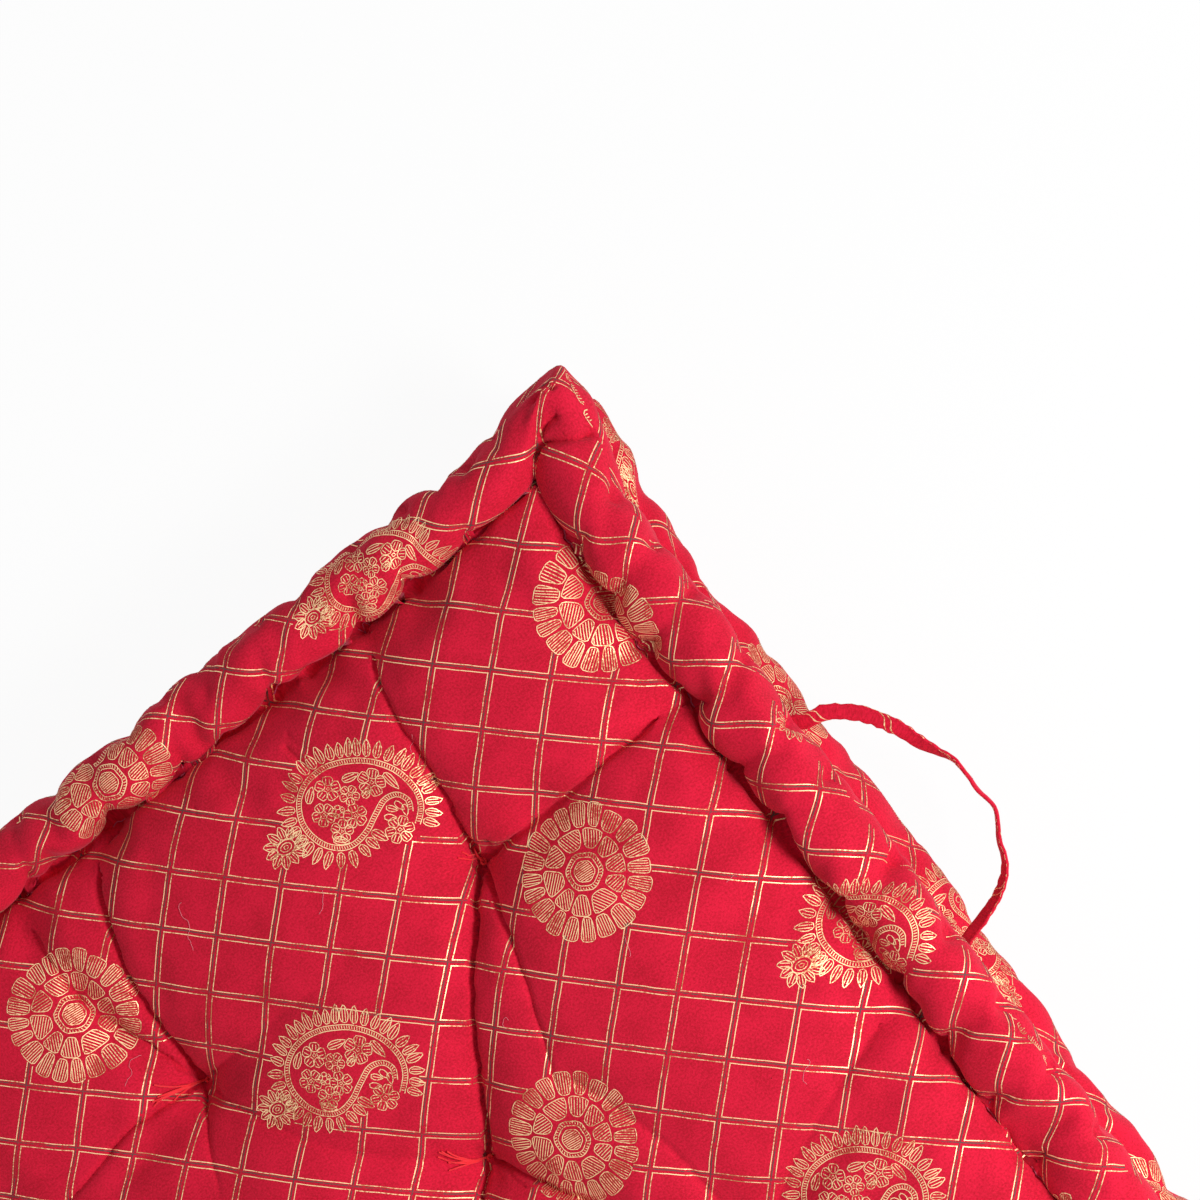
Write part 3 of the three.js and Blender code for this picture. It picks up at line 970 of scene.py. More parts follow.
edgeA = np.array([ink["cellX"], ink["cellY"]]) / 2
edgeB = np.array([ink["cellX"], -ink["cellY"]]) / 2


def drawCell():
    # the outline of one cell, its corner at the origin
    drawing = Strokes()
    a, b = edgeA / mm, edgeB / mm
    shrink = ink["band"] / 2 / np.linalg.norm(a)
    low, top = shrink, 1 - shrink
    corners = [a * u + b * v for u, v in ((low, low), (top, low), (top, top), (low, top))]
    for k in range(4):
        p, q = corners[k], corners[(k + 1) % 4]
        drawing.add([p - (q - p) * 0.012, q + (q - p) * 0.012], ink["line"])
    return drawing.mesh("cell")


def drawRib():
    drawing = Strokes()
    for edge in (edgeA / mm, edgeB / mm):
        aside = np.array([-edge[1], edge[0]]) / np.linalg.norm(edge) * ink["ribAside"]
        drawing.add([aside, edge + aside], ink["rib"])
    return drawing.mesh("rib")


def drawMask(name, outline):
    return meshObject(name, [(x * mm, y * mm, 0) for x, y in outline], [range(len(outline))])


def treeSocket(tree, name, kind, default=None):
    socket = tree.interface.new_socket(name=name, in_out="INPUT", socket_type="NodeSocket" + kind)
    if default is not None:
        socket.default_value = default


def makeTree(name, sockets):
    tree = bpy.data.node_groups.new(name, "GeometryNodeTree")
    tree.interface.new_socket(name="Geometry", in_out="OUTPUT", socket_type="NodeSocketGeometry")
    for socket in sockets:
        treeSocket(tree, *socket)
    given = addNode(tree, "NodeGroupInput").outputs
    return tree, given


def endTree(tree, geometry, material):
    real = addNode(tree, "GeometryNodeRealizeInstances", {"Geometry": geometry})
    dyed = addNode(tree, "GeometryNodeSetMaterial", {"Geometry": real.outputs[0], "Material": material})
    addNode(tree, "NodeGroupOutput", {"Geometry": dyed.outputs[0]})


def runTree(name, tree, values):
    piece = meshObject(name, [], [])
    mod = piece.modifiers.new("made", "NODES")
    mod.node_group = tree
    for item in tree.interface.items_tree:
        if item.in_out == "INPUT" and item.name in values:
            mod[item.identifier] = values[item.name]
    plainMesh(piece)
    return piece


def stampTree():
    # stamps two motifs in turn over a lattice of the flat cut; leaves out what falls in Keep Clear
    tree, given = makeTree("stamps", [
        ("First", "Object"), ("Second", "Object"), ("Keep Clear", "Object"), ("Across", "Vector"),
        ("Along", "Vector"), ("Start", "Vector"), ("Middle", "Vector"), ("Half", "Vector"),
        ("Count", "Int", 8), ("Turn", "Float", 0.0), ("Uneven Turn", "Float", 0.0), ("Seed", "Int", 3)])
    count = given["Count"]
    grid = addNode(tree, "GeometryNodeMeshGrid", {"Vertices X": count, "Vertices Y": count})
    index = addNode(tree, "GeometryNodeInputIndex").outputs[0]
    column = addNode(tree, "FunctionNodeIntegerMath", {0: index, 1: count}, operation="DIVIDE_FLOOR")
    row = addNode(tree, "FunctionNodeIntegerMath", {0: index, 1: count}, operation="MODULO")
    half = addNode(tree, "FunctionNodeIntegerMath", {0: count, 1: 2}, operation="DIVIDE_FLOOR")
    place = given["Start"]
    for number, step in ((column, "Across"), (row, "Along")):
        centred = addNode(tree, "FunctionNodeIntegerMath", {0: number.outputs[0], 1: half.outputs[0]},
                          operation="SUBTRACT")
        shift = addNode(tree, "ShaderNodeVectorMath", {0: given[step], "Scale": centred.outputs[0]},
                        operation="SCALE")
        place = addNode(tree, "ShaderNodeVectorMath", {0: place, 1: shift.outputs[0]}).outputs[0]
    spread = addNode(tree, "GeometryNodeSetPosition", {"Geometry": grid.outputs[0], "Position": place})
    off = addNode(tree, "ShaderNodeVectorMath", {0: place, 1: given["Middle"]}, operation="SUBTRACT")
    off = addNode(tree, "ShaderNodeVectorMath", {0: off.outputs[0]}, operation="ABSOLUTE")
    near = addNode(tree, "FunctionNodeCompare", {4: off.outputs[0], 5: given["Half"]}, data_type="VECTOR",
                   mode="ELEMENT", operation="LESS_THAN").outputs[0]
    parity = addNode(tree, "FunctionNodeIntegerMath", {0: column.outputs[0], 1: 2}, operation="MODULO")
    parts = []
    wobble = addNode(tree, "FunctionNodeRandomValue", {2: -1.0, 3: 1.0, "Seed": given["Seed"]}).outputs[1]
    wobble = addNode(tree, "ShaderNodeMath", {0: wobble, 1: given["Uneven Turn"]}, operation="MULTIPLY")
    angle = addNode(tree, "ShaderNodeMath", {0: wobble.outputs[0], 1: given["Turn"]}).outputs[0]
    turn = addNode(tree, "ShaderNodeCombineXYZ", {"Z": angle}).outputs[0]
    turn = addNode(tree, "FunctionNodeEulerToRotation", {0: turn}).outputs[0]
    for name, isOdd in (("First", 0), ("Second", 1)):
        motif = addNode(tree, "GeometryNodeObjectInfo", {"Object": given[name]}).outputs["Geometry"]
        turnNow = addNode(tree, "FunctionNodeCompare", {2: parity.outputs[0], 3: isOdd}, data_type="INT",
                          operation="EQUAL")
        used = addNode(tree, "FunctionNodeBooleanMath", {0: turnNow.outputs[0], 1: near})
        parts.append(addNode(tree, "GeometryNodeInstanceOnPoints", {
            "Points": spread.outputs[0], "Selection": used.outputs[0], "Instance": motif,
            "Rotation": turn}).outputs[0])
    both = addNode(tree, "GeometryNodeJoinGeometry")
    for part in parts:
        tree.links.new(part, both.inputs[0])
    real = addNode(tree, "GeometryNodeRealizeInstances", {"Geometry": both.outputs[0]}).outputs[0]
    clear = addNode(tree, "GeometryNodeObjectInfo", {"Object": given["Keep Clear"]}).outputs["Geometry"]
    gap = addNode(tree, "GeometryNodeProximity", {"Geometry": clear}, target_element="FACES")
    inside = addNode(tree, "FunctionNodeCompare", {0: gap.outputs["Distance"], 1: ink["clearWithin"]},
                     operation="LESS_THAN")
    inside = addNode(tree, "FunctionNodeBooleanMath", {0: inside.outputs[0], 1: gap.outputs["Is Valid"]})
    rest = addNode(tree, "GeometryNodeDeleteGeometry", {"Geometry": real, "Selection": inside.outputs[0]})
    addNode(tree, "NodeGroupOutput", {"Geometry": rest.outputs[0]})
    return tree


def layTree():
    # lays a flat drawing on one part of the sewn cover, a little above the cloth
    tree, given = makeTree("printOnCloth", [
        ("Drawing", "Object"), ("Cover", "Object"), ("Part", "Int", 0), ("Lift", "Float", 0.0001),
        ("Wander", "Float", 0.0), ("Ink", "Material")])
    drawing = addNode(tree, "GeometryNodeObjectInfo", {"Object": given["Drawing"]}).outputs["Geometry"]
    cloth = addNode(tree, "GeometryNodeObjectInfo", {"Object": given["Cover"]}).outputs["Geometry"]
    part = addNode(tree, "GeometryNodeInputNamedAttribute", {"Name": "clothPart"}, data_type="INT")
    same = addNode(tree, "FunctionNodeCompare", {2: part.outputs[0], 3: given["Part"]}, data_type="INT",
                   operation="EQUAL")
    outward = addNode(tree, "GeometryNodeInputNormal").outputs[0]
    above = addNode(tree, "ShaderNodeVectorMath", {0: outward, "Scale": given["Lift"]}, operation="SCALE")
    raised = addNode(tree, "GeometryNodeSetPosition", {"Geometry": cloth, "Offset": above.outputs[0]})
    picked = addNode(tree, "GeometryNodeSeparateGeometry", {
        "Geometry": raised.outputs[0], "Selection": same.outputs[0]}, domain="FACE")
    cut = addNode(tree, "GeometryNodeInputNamedAttribute", {"Name": "cutCloth"}, data_type="FLOAT_VECTOR")
    flat = addNode(tree, "GeometryNodeInputPosition").outputs[0]
    shake = addNode(tree, "ShaderNodeTexNoise", {
        "Vector": flat, "Scale": 1 / ink["wanderEvery"], "Detail": 2.0})
    shake = addNode(tree, "ShaderNodeVectorMath", {0: shake.outputs["Color"], 1: (0.5, 0.5, 0.5)},
                    operation="SUBTRACT")
    shake = addNode(tree, "ShaderNodeVectorMath", {0: shake.outputs[0], "Scale": given["Wander"]},
                    operation="SCALE")
    flat = addNode(tree, "ShaderNodeVectorMath", {0: flat, 1: shake.outputs[0]}).outputs[0]
    place = addNode(tree, "GeometryNodeSampleUVSurface", {
        "Mesh": picked.outputs[0], "Value": addNode(tree, "GeometryNodeInputPosition").outputs[0],
        "UV Map": cut.outputs[0], "Sample UV": flat}, data_type="FLOAT_VECTOR")
    capture = addNode(tree, "GeometryNodeCaptureAttribute", {"Geometry": drawing})
    capture.capture_items.new("BOOLEAN", "onCloth")
    tree.links.new(place.outputs["Is Valid"], capture.inputs[1])
    laid = addNode(tree, "GeometryNodeSetPosition", {"Geometry": capture.outputs[0],
                                                     "Position": place.outputs["Value"]})
    off = addNode(tree, "FunctionNodeBooleanMath", {0: capture.outputs[1]}, operation="NOT")
    kept = addNode(tree, "GeometryNodeDeleteGeometry", {"Geometry": laid.outputs[0],
                                                        "Selection": off.outputs[0]})
    endTree(tree, kept.outputs[0], given["Ink"])
    return tree


sideTop, sideLength = -cutY - cover["partGap"], 4 * (cutX + cutY)
underX = 2 * cutX + cover["partGap"]
# parts of the cloth: number, one flower's and one crossing's place on the flat cut, and the part's
# middle and half size there
printedParts = {
    "face": (0, (132 * mm, 74 * mm), (134 * mm, 79.5 * mm), (0, 0), (cutX, cutY)),
    "side": (1, (107 * mm, sideTop - 0.72 * boxCloth), (109 * mm, sideTop - 50 * mm),
             (-cutX + sideLength / 2, sideTop - boxCloth / 2), (sideLength / 2, boxCloth / 2)),
    "underside": (2, (underX + 31 * mm, 17 * mm), (underX + 30 * mm, 23 * mm), (underX, 0), (cutX, cutY)),
}


def drawMotifs():
    drawn = {"flower": drawFlower(), "paisley": drawPaisley(), "cell": drawCell(), "rib": drawRib()}
    ring = [(30 * math.cos(t), 30 * math.sin(t)) for t in np.linspace(0, math.tau, 32, endpoint=False)]
    drawn["flowerMask"] = drawMask("flowerMask", ring)
    drawn["paisleyMask"] = drawMask("paisleyMask", paisleyShape["clear"])
    drawn["nothing"] = meshObject("nothing", [], [])
    for name in ("paisley", "paisleyMask"):
        co = readPoints(drawn[name].data)
        co[:, :2] += turned(paisleyShape["aside"], math.radians(-ink["turn"]))
        writePoints(drawn[name].data, co)
    return drawn


def printCover(goldInk, brownInk):
    stamps, lay = stampTree(), layTree()
    drawn = drawMotifs()
    across = (2 * ink["cellX"], -2.5 * ink["cellY"], 0)
    along = (2 * ink["cellX"], 2.5 * ink["cellY"], 0)
    pieces = []
    for name, (part, flowerAt, gridAt, partMiddle, partHalf) in printedParts.items():
        reach = {"Middle": (*partMiddle, 0), "Half": (*(np.array(partHalf) + ink["overRun"]), 1)}
        motif = {**reach, "Across": across, "Along": along, "Start": (*flowerAt, 0),
                 "Count": ink["motifs"], "Turn": math.radians(ink["turn"]),
                 "Uneven Turn": math.radians(ink["unevenTurn"]), "Keep Clear": drawn["nothing"]}
        printed = runTree("printed", stamps, {**motif, "First": drawn["flower"],
                                              "Second": drawn["paisley"]})
        masked = runTree("masked", stamps, {**motif, "First": drawn["flowerMask"],
                                            "Second": drawn["paisleyMask"]})
        grid = {**reach, "Across": (*edgeA, 0), "Along": (*edgeB, 0), "Start": (*gridAt, 0),
                "Count": ink["cells"], "Keep Clear": masked}
        outlines = runTree("outlines", stamps, {**grid, "First": drawn["cell"], "Second": drawn["cell"]})
        ribs = runTree("ribs", stamps, {**grid, "First": drawn["rib"], "Second": drawn["rib"]})
        layers = (("gold_motifs_", printed, goldInk, 1), ("gold_grid_", outlines, goldInk, 1),
                  ("brown_grid_", ribs, brownInk, ink["brownLift"]))
        for what, drawing, colour, liftShare in layers:
            piece = runTree(what + name, lay, {
                "Drawing": drawing, "Cover": cushion, "Part": part, "Lift": ink["lift"] * liftShare,
                "Wander": 2 * ink["wander"], "Ink": colour})
            pieces.append(piece)
            print("print", piece.name, len(piece.data.polygons), "faces")
        for spent in (printed, masked, outlines, ribs):
            bpy.data.objects.remove(spent)
    for spent in drawn.values():
        bpy.data.objects.remove(spent)
    return pieces


# Colours and materials.
colours = {
    "cottonLit": "#e0153a", "cottonDeep": "#b80a26", "nep": "#5a0d1a", "sheen": "#ff8ea4",
    "gold": "#ffd8a6", "goldWorn": "#c07850", "brown": "#5c3f3c", "thread": "#f01c2c", "stitch": "#c2496a",
    "lint": "#e88e9c", "paper": "#f1f1f1", "white": "#ffffff",
}
weave = {
    "thread": 0.4398 * mm, "patch": 0.7 * mm, "strength": 0.25, "depth": 0.12 * mm,
    "cloudEvery": 16.667 * mm, "grainEvery": 1.0526 * mm, "tone": (0.38, 0.6),    # uneven dye
    "slubEvery": 3.8462 * mm, "slubStrength": 0.3, "slubDepth": 0.5 * mm,         # uneven yarn
    "nepEvery": 16 * mm, "nepRadius": 0.3 * mm, "nepShare": 0.35,
}
paste = {"grainEvery": 0.9091 * mm, "broadEvery": 14.286 * mm, "wear": (0.84, 1.02), "depth": 0.1 * mm}
yarn = {"twistEvery": 1.2566 * mm, "depth": 0.1 * mm}            # between the ridges of the twist


def newMaterial(name):
    material = bpy.data.materials.new(name)
    material.use_nodes = True
    tree = material.node_tree
    return material, tree, tree.nodes["Principled BSDF"]


def cottonMaterial(name):
    # plain-woven mill cotton, piece dyed: matt, a fine even grain, a little fuzz that pales at the edges
    material, tree, skin = newMaterial(name)
    place = addNode(tree, "ShaderNodeUVMap", uv_map="cutCloth").outputs[0]
    cloud = addNode(tree, "ShaderNodeTexNoise", {
        "Vector": place, "Scale": 1 / weave["cloudEvery"], "Detail": 3.0})
    grain = addNode(tree, "ShaderNodeTexNoise", {
        "Vector": place, "Scale": 1 / weave["grainEvery"], "Detail": 2.0, "Roughness": 0.7})
    blend = addNode(tree, "ShaderNodeMix", {0: 0.3, 2: grain.outputs[0], 3: cloud.outputs[0]})
    tone = addNode(tree, "ShaderNodeMapRange", {
        "Value": blend.outputs[0], "From Min": weave["tone"][0], "From Max": weave["tone"][1]})
    dyed = addNode(tree, "ShaderNodeMix", {0: tone.outputs[0], 6: linearColour(colours["cottonDeep"]),
                                           7: linearColour(colours["cottonLit"])}, data_type="RGBA")
    # neps: tiny dark knots of fibre caught in the yarn
    cells = addNode(tree, "ShaderNodeTexVoronoi", {"Vector": place, "Scale": 1 / weave["nepEvery"]})
    size = weave["nepRadius"] / weave["nepEvery"]
    knot = addNode(tree, "ShaderNodeMath", {0: cells.outputs["Distance"], 1: size}, operation="LESS_THAN")
    some = addNode(tree, "ShaderNodeSeparateColor", {0: cells.outputs["Color"]})
    rare = addNode(tree, "ShaderNodeMath", {0: some.outputs[0], 1: weave["nepShare"]},
                   operation="LESS_THAN")
    dark = addNode(tree, "ShaderNodeMath", {0: knot.outputs[0], 1: rare.outputs[0]}, operation="MULTIPLY")
    flecked = addNode(tree, "ShaderNodeMix", {0: dark.outputs[0], 6: dyed.outputs[2],
                                              7: linearColour(colours["nep"])}, data_type="RGBA")
    tree.links.new(flecked.outputs[2], skin.inputs["Base Color"])
    # weave: warp and weft show in turn, patch by patch; both are coarser than real ones, to show at all
    waves = []
    for axis in ("X", "Y"):
        wave = addNode(tree, "ShaderNodeTexWave", {
            "Vector": place, "Scale": math.tau / 20 / weave["thread"], "Distortion": 0.6, "Detail": 1.0},
            bands_direction=axis)
        waves.append(wave.outputs["Fac"])
    over = addNode(tree, "ShaderNodeTexChecker", {"Vector": place, "Scale": 1 / weave["patch"]})
    height = addNode(tree, "ShaderNodeMix", {0: over.outputs["Fac"], 2: waves[0], 3: waves[1]})
    bump = addNode(tree, "ShaderNodeBump", {"Height": height.outputs[0], "Strength": weave["strength"],
                                            "Distance": weave["depth"]})
    slub = addNode(tree, "ShaderNodeTexNoise", {
        "Vector": place, "Scale": 1 / weave["slubEvery"], "Detail": 4.0})
    uneven = addNode(tree, "ShaderNodeBump", {
        "Height": slub.outputs[0], "Strength": weave["slubStrength"], "Distance": weave["slubDepth"],
        "Normal": bump.outputs[0]})
    tree.links.new(uneven.outputs[0], skin.inputs["Normal"])
    skin.inputs["Roughness"].default_value = 0.88
    skin.inputs["Specular IOR Level"].default_value = 0.25
    skin.inputs["Sheen Weight"].default_value = 0.2
    skin.inputs["Sheen Roughness"].default_value = 0.45
    skin.inputs["Sheen Tint"].default_value = linearColour(colours["sheen"])
    return material


def inkMaterial(name, fresh, worn, metallic, roughness):
    # printing paste with metal powder or pigment, thin on the yarn: it breaks up a little in the grain
    material, tree, skin = newMaterial(name)
    place = addNode(tree, "ShaderNodeTexCoord").outputs["Object"]
    grain = addNode(tree, "ShaderNodeTexNoise", {
        "Vector": place, "Scale": 1 / paste["grainEvery"], "Detail": 2.0})
    broad = addNode(tree, "ShaderNodeTexNoise", {
        "Vector": place, "Scale": 1 / paste["broadEvery"], "Detail": 2.0})
    both = addNode(tree, "ShaderNodeMath", {0: grain.outputs[0], 1: broad.outputs[0]})
    wear = addNode(tree, "ShaderNodeMapRange", {
        "Value": both.outputs[0], "From Min": paste["wear"][0], "From Max": paste["wear"][1]})
    shade = addNode(tree, "ShaderNodeMix", {0: wear.outputs[0], 6: linearColour(worn),
                                            7: linearColour(fresh)}, data_type="RGBA")
    tree.links.new(shade.outputs[2], skin.inputs["Base Color"])
    rough = addNode(tree, "ShaderNodeBump", {"Height": grain.outputs[0], "Strength": 0.35,
                                             "Distance": paste["depth"]})
    tree.links.new(rough.outputs[0], skin.inputs["Normal"])
    skin.inputs["Metallic"].default_value = metallic
    skin.inputs["Roughness"].default_value = roughness
    return material


def yarnMaterial(name, colour):
    # twisted cotton yarn: matt, with the twist as fine slanting ridges
    material, tree, skin = newMaterial(name)
    place = addNode(tree, "ShaderNodeTexCoord").outputs["Object"]
    twist = addNode(tree, "ShaderNodeTexWave", {
        "Vector": place, "Scale": math.tau / 10 / yarn["twistEvery"], "Distortion": 2.0},
        bands_direction="DIAGONAL")
    bump = addNode(tree, "ShaderNodeBump", {"Height": twist.outputs["Fac"], "Strength": 0.4,
                                            "Distance": yarn["depth"]})
    tree.links.new(bump.outputs[0], skin.inputs["Normal"])
    skin.inputs["Base Color"].default_value = linearColour(colour)
    skin.inputs["Roughness"].default_value = 0.7
    skin.inputs["Sheen Weight"].default_value = 0.1
    return material


printedCotton = cottonMaterial("woven cotton, dyed red")
goldInk = inkMaterial("gold printing paste", colours["gold"], colours["goldWorn"], 0.6, 0.5)
brownInk = inkMaterial("brown printing paste", colours["brown"], colours["cottonDeep"], 0.0, 0.75)
redYarn = yarnMaterial("red cotton yarn", colours["thread"])
stitchYarn = yarnMaterial("pink stitching cotton", colours["stitch"])
lintFibre = yarnMaterial("loose lint", colours["lint"])


def finish(piece, material=None):
    if material:
        piece.data.materials.clear()
        piece.data.materials.append(material)
    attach(piece, "root")


finish(cushion, printedCotton)
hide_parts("cushion")
for piece in printCover(goldInk, brownInk):
    finish(piece)

# The strap handle is a flat sewn tube on the CAD's own route.
strap = {
    "width": 7.2 * mm, "thick": 2.0 * mm, "cutWide": 31 * mm, "step": 2.2 * mm, "points": 22,
    "squareWide": 0.45, "squareThick": 0.8,        # powers that square its section off
    "pucker": 0.34 * mm, "puckerEvery": 6.5 * mm, "kink": 0.5 * mm, "kinkEvery": 9 * mm,
    "seamDeep": 0.35 * mm, "seamAt": 0.55, "seamWide": 0.18,      # where its folded edges are sewn down
    "into": 7 * mm,                                # how far the ends reach into the boxing
}
# x, y, z in mm from the cushion's middle, and how far the width stands up from level, in degrees
strapRoute = [
    (229.5, 70.5, 44, 4), (238, 67, 45, 0), (246, 64.5, 45.5, -5), (253, 60.5, 45.5, -6),
    (259.5, 54, 45, -4), (265, 46.5, 44.5, 3), (269, 38.5, 44, 14), (272.5, 29.5, 43, 30),
    (276.5, 21, 42, 58), (280, 13.5, 42, 74), (280, 5, 41.5, 82), (279.5, -3, 41, 86),
    (281, -13, 41, 82), (278, -20.5, 41, 80), (274, -27, 41, 74), (271, -34, 41.5, 68),
    (265, -41, 42, 60), (257, -46.5, 42.5, 56), (248, -49.5, 43, 50), (239.5, -52, 43.5, 44),
    (229.5, -55, 44, 40)]


def makeStrap():
    # the tilt is scaled with the places, so that the strap has more rings where it twists
    line = smoothPath(np.array(strapRoute, float) * mm, strap["step"])
    centre, tilt = line[:, :3], np.radians(line[:, 3] / mm)
    forward = np.gradient(centre, axis=0)
    forward /= np.linalg.norm(forward, axis=1)[:, None]
    centre[0] -= forward[0] * strap["into"]
    centre[-1] += forward[-1] * strap["into"]
    run = np.concatenate([[0], np.cumsum(np.linalg.norm(np.diff(centre, axis=0), axis=1))])
    for axis in range(3):                            # small kinks where it has been folded
        knots = np.arange(0, run[-1] + strap["kinkEvery"], strap["kinkEvery"])
        offset = rng.uniform(-strap["kink"], strap["kink"], len(knots))
        offset[:2] = offset[-3:] = 0
        centre[:, axis] += np.interp(run, knots, offset)
    phase = rng.uniform(0, math.tau, 6)
    beat = math.tau * run / strap["puckerEvery"]
    pucker = []
    for k in range(3):
        wave = np.sin(beat * (1 + 0.13 * k) + phase[k]) + 0.6 * np.sin(beat * 0.41 + phase[k + 3])
        pucker.append(strap["pucker"] * wave)
    points, faces, uvs = [], [], []
    count = strap["points"]
    around = np.linspace(0, math.tau, count, endpoint=False)
    for k in range(len(centre)):
        across = np.cross((0, 0, 1), forward[k])
        across /= np.linalg.norm(across)
        turn = np.array(Matrix.Rotation(tilt[k], 3, Vector(forward[k])))
        across = turn @ across
        through = np.cross(forward[k], across)
        half = strap["width"] / 2 + pucker[0][k] * 0.5
        for a in around:
            c, s = math.cos(a), math.sin(a)
            wide = half * math.copysign(abs(c) ** strap["squareWide"], c) + pucker[1][k] * 0.7
            deep = strap["thick"] / 2 * math.copysign(abs(s) ** strap["squareThick"], s)
            deep += pucker[2][k] * 0.4 * abs(c)
            if s > 0.2:
                fromSeam = (wide / half - strap["seamAt"]) / strap["seamWide"]
                deep -= strap["seamDeep"] * math.exp(-fromSeam ** 2)
            points.append(centre[k] + middle + across * wide + through * deep)
    girth = 2 * (strap["width"] + strap["thick"]) / count
    for k in range(len(centre) - 1):
        for m in range(count):
            corners = [(k, m), (k, m + 1), (k + 1, m + 1), (k + 1, m)]
            faces.append([a * count + b % count for a, b in corners])
            uvs += [(run[a], girth * b) for a, b in corners]
    for k, order in ((0, -1), (len(centre) - 1, 1)):
        faces.append([k * count + m for m in range(count)][::order])
        uvs += [(run[k], girth * m) for m in range(count)]
    piece = meshObject("strap", points, faces)
    piece.data.uv_layers.new(name="cutCloth").data.foreach_set("uv", np.array(uvs, np.float32).ravel())
    piece.data.attributes.new("clothPart", "INT", "FACE").data.foreach_set(
        "value", [0] * (len(faces) - 2) + [1, 1])
    piece.data.polygons.foreach_set("use_smooth", [True] * len(faces))
    return piece, run[-1]


strapPrint = {
    # lines that cross the folded strap, and dashes along its folded edge, in mm
    "from": 16, "every": 33.0, "slant": 9, "beside": 3.2, "back": 20,
    "dashFrom": 24.0, "dashEnd": 30, "dash": (1.0, 3.2), "dashGap": (0.8, 4.5), "dashRise": (0.1, 0.7),
}


def drawStrapInk(length):
    # what shows of the grid on the folded strap
    drawing = Strokes()
    p = strapPrint
    long, girth = length / mm, 2 * (strap["width"] + strap["thick"]) / mm
    for u in np.arange(p["from"], long - p["from"], p["every"]):
        for first in (u, u + p["beside"]):
            drawing.add([(first, 1), (first + p["slant"], girth * 0.48)], ink["line"])
        drawing.add([(u + p["back"], girth * 0.5), (u + p["back"] - p["slant"], girth - 1)], ink["line"])
    u, low = p["dashFrom"], girth * 0.05
    while u < long - p["dashEnd"]:
        dash = rng.uniform(*p["dash"])
        drawing.add([(u, low + 0.3), (u + dash, low + rng.uniform(*p["dashRise"]))], ink["line"])
        u += dash + rng.uniform(*p["dashGap"])
    return drawing.mesh("strapDrawing")


strapPiece, strapLength = makeStrap()
print("strap is", round(strapLength / mm), "mm long")
finish(strapPiece, cottonMaterial("woven cotton, folded strap"))
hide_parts("strap_handle")
strapDrawing = drawStrapInk(strapLength)
strapInk = runTree("gold_print_strap", bpy.data.node_groups["printOnCloth"],
                   {"Drawing": strapDrawing, "Cover": strapPiece, "Part": 0, "Lift": ink["lift"],
                    "Wander": ink["wander"], "Ink": goldInk})
bpy.data.objects.remove(strapDrawing)
finish(strapInk)

# Threads are paths over the sewn cover, made round by Geometry Nodes.
threads = {
    "stitchRadius": 0.28 * mm, "stitchHalf": (2.5, 4.5), "stitchArch": 0.9 * mm,
    "valleyFrom": -7 * mm, "valleyTo": 5 * mm,     # where a stitch looks for the valley's bottom
    "tuftRadius": 0.38 * mm, "tuftArch": 1.2 * mm, "tuftLift": 0.5 * mm,
    "knots": 4, "knotRadius": (1.0, 1.7), "knotTurn": 5.8, "knotLift": 1.0 * mm,
    "lintRadius": 0.09 * mm, "lintLift": 0.35 * mm, "lintCurl": 0.75,
}
coverTree = BVHTree.FromObject(cushion, bpy.context.evaluated_depsgraph_get())


def surfaceZ(x, y):
    above = Vector((x + middle[0], y, 0.3))
    hit = coverTree.ray_cast(above, Vector((0, 0, -1)))[0]
    return hit.z if hit else 0.0


def threadTree():
    tree, given = makeTree("roundThread", [
        ("Paths", "Object"), ("Radius", "Float", 0.0003), ("Sides", "Int", 6), ("Yarn", "Material")])
    paths = addNode(tree, "GeometryNodeObjectInfo", {"Object": given["Paths"]}).outputs["Geometry"]
    curves = addNode(tree, "GeometryNodeMeshToCurve", {"Mesh": paths})
    profile = addNode(tree, "GeometryNodeCurvePrimitiveCircle", {"Resolution": given["Sides"],
                                                                 "Radius": given["Radius"]})
    tube = addNode(tree, "GeometryNodeCurveToMesh", {"Curve": curves.outputs[0], "Fill Caps": True,
                                                     "Profile Curve": profile.outputs[0]})
    endTree(tree, tube.outputs[0], given["Yarn"])
    return tree


def makeThreads(name, paths, radius, sides, yarn):
    points, edges = [], []
    for path in paths:
        edges += [(len(points) + k, len(points) + k + 1) for k in range(len(path) - 1)]
        points += [tuple(np.asarray(p) + middle) for p in path]
    drawn = meshObject("paths", points, [], edges)
    piece = runTree(name, roundThread, {"Paths": drawn, "Radius": radius, "Sides": sides, "Yarn": yarn})
    bpy.data.objects.remove(drawn)
    finish(piece)
    return piece


def lieOn(plan, lift):
    # a plan path laid on the cover
    return [(x, y, surfaceZ(x, y) + lift) for x, y in plan]


def valleyPaths():
    # a short stitch along the valley at each place where the needle goes through
    paths = []
    for side, row in stitchRows.items():
        for run in row:
            long = rng.uniform(*threads["stitchHalf"]) * mm
            path = []
            for t in np.linspace(-long, long, 6):
                places = [besideValley(side, run + t, out)
                          for out in np.linspace(threads["valleyFrom"], threads["valleyTo"], 13)]
                x, y, z = min(((x, y, surfaceZ(x, y)) for x, y in places), key=lambda place: place[2])
                path.append((x, y, z + threads["stitchArch"] * (1 - (t / long) ** 2)))
            paths.append(path)
    return paths


tuftThreads = {
    # tuft number: (how many ends, their length in mm, the way they lie in plan, in degrees, and spread)
    0: (3, 9, 110, 50), 1: (9, 20, 151, 7), 2: (6, 19, 146, 8), 3: (4, 12, 170, 60), 4: (4, 14, 200, 40),
}


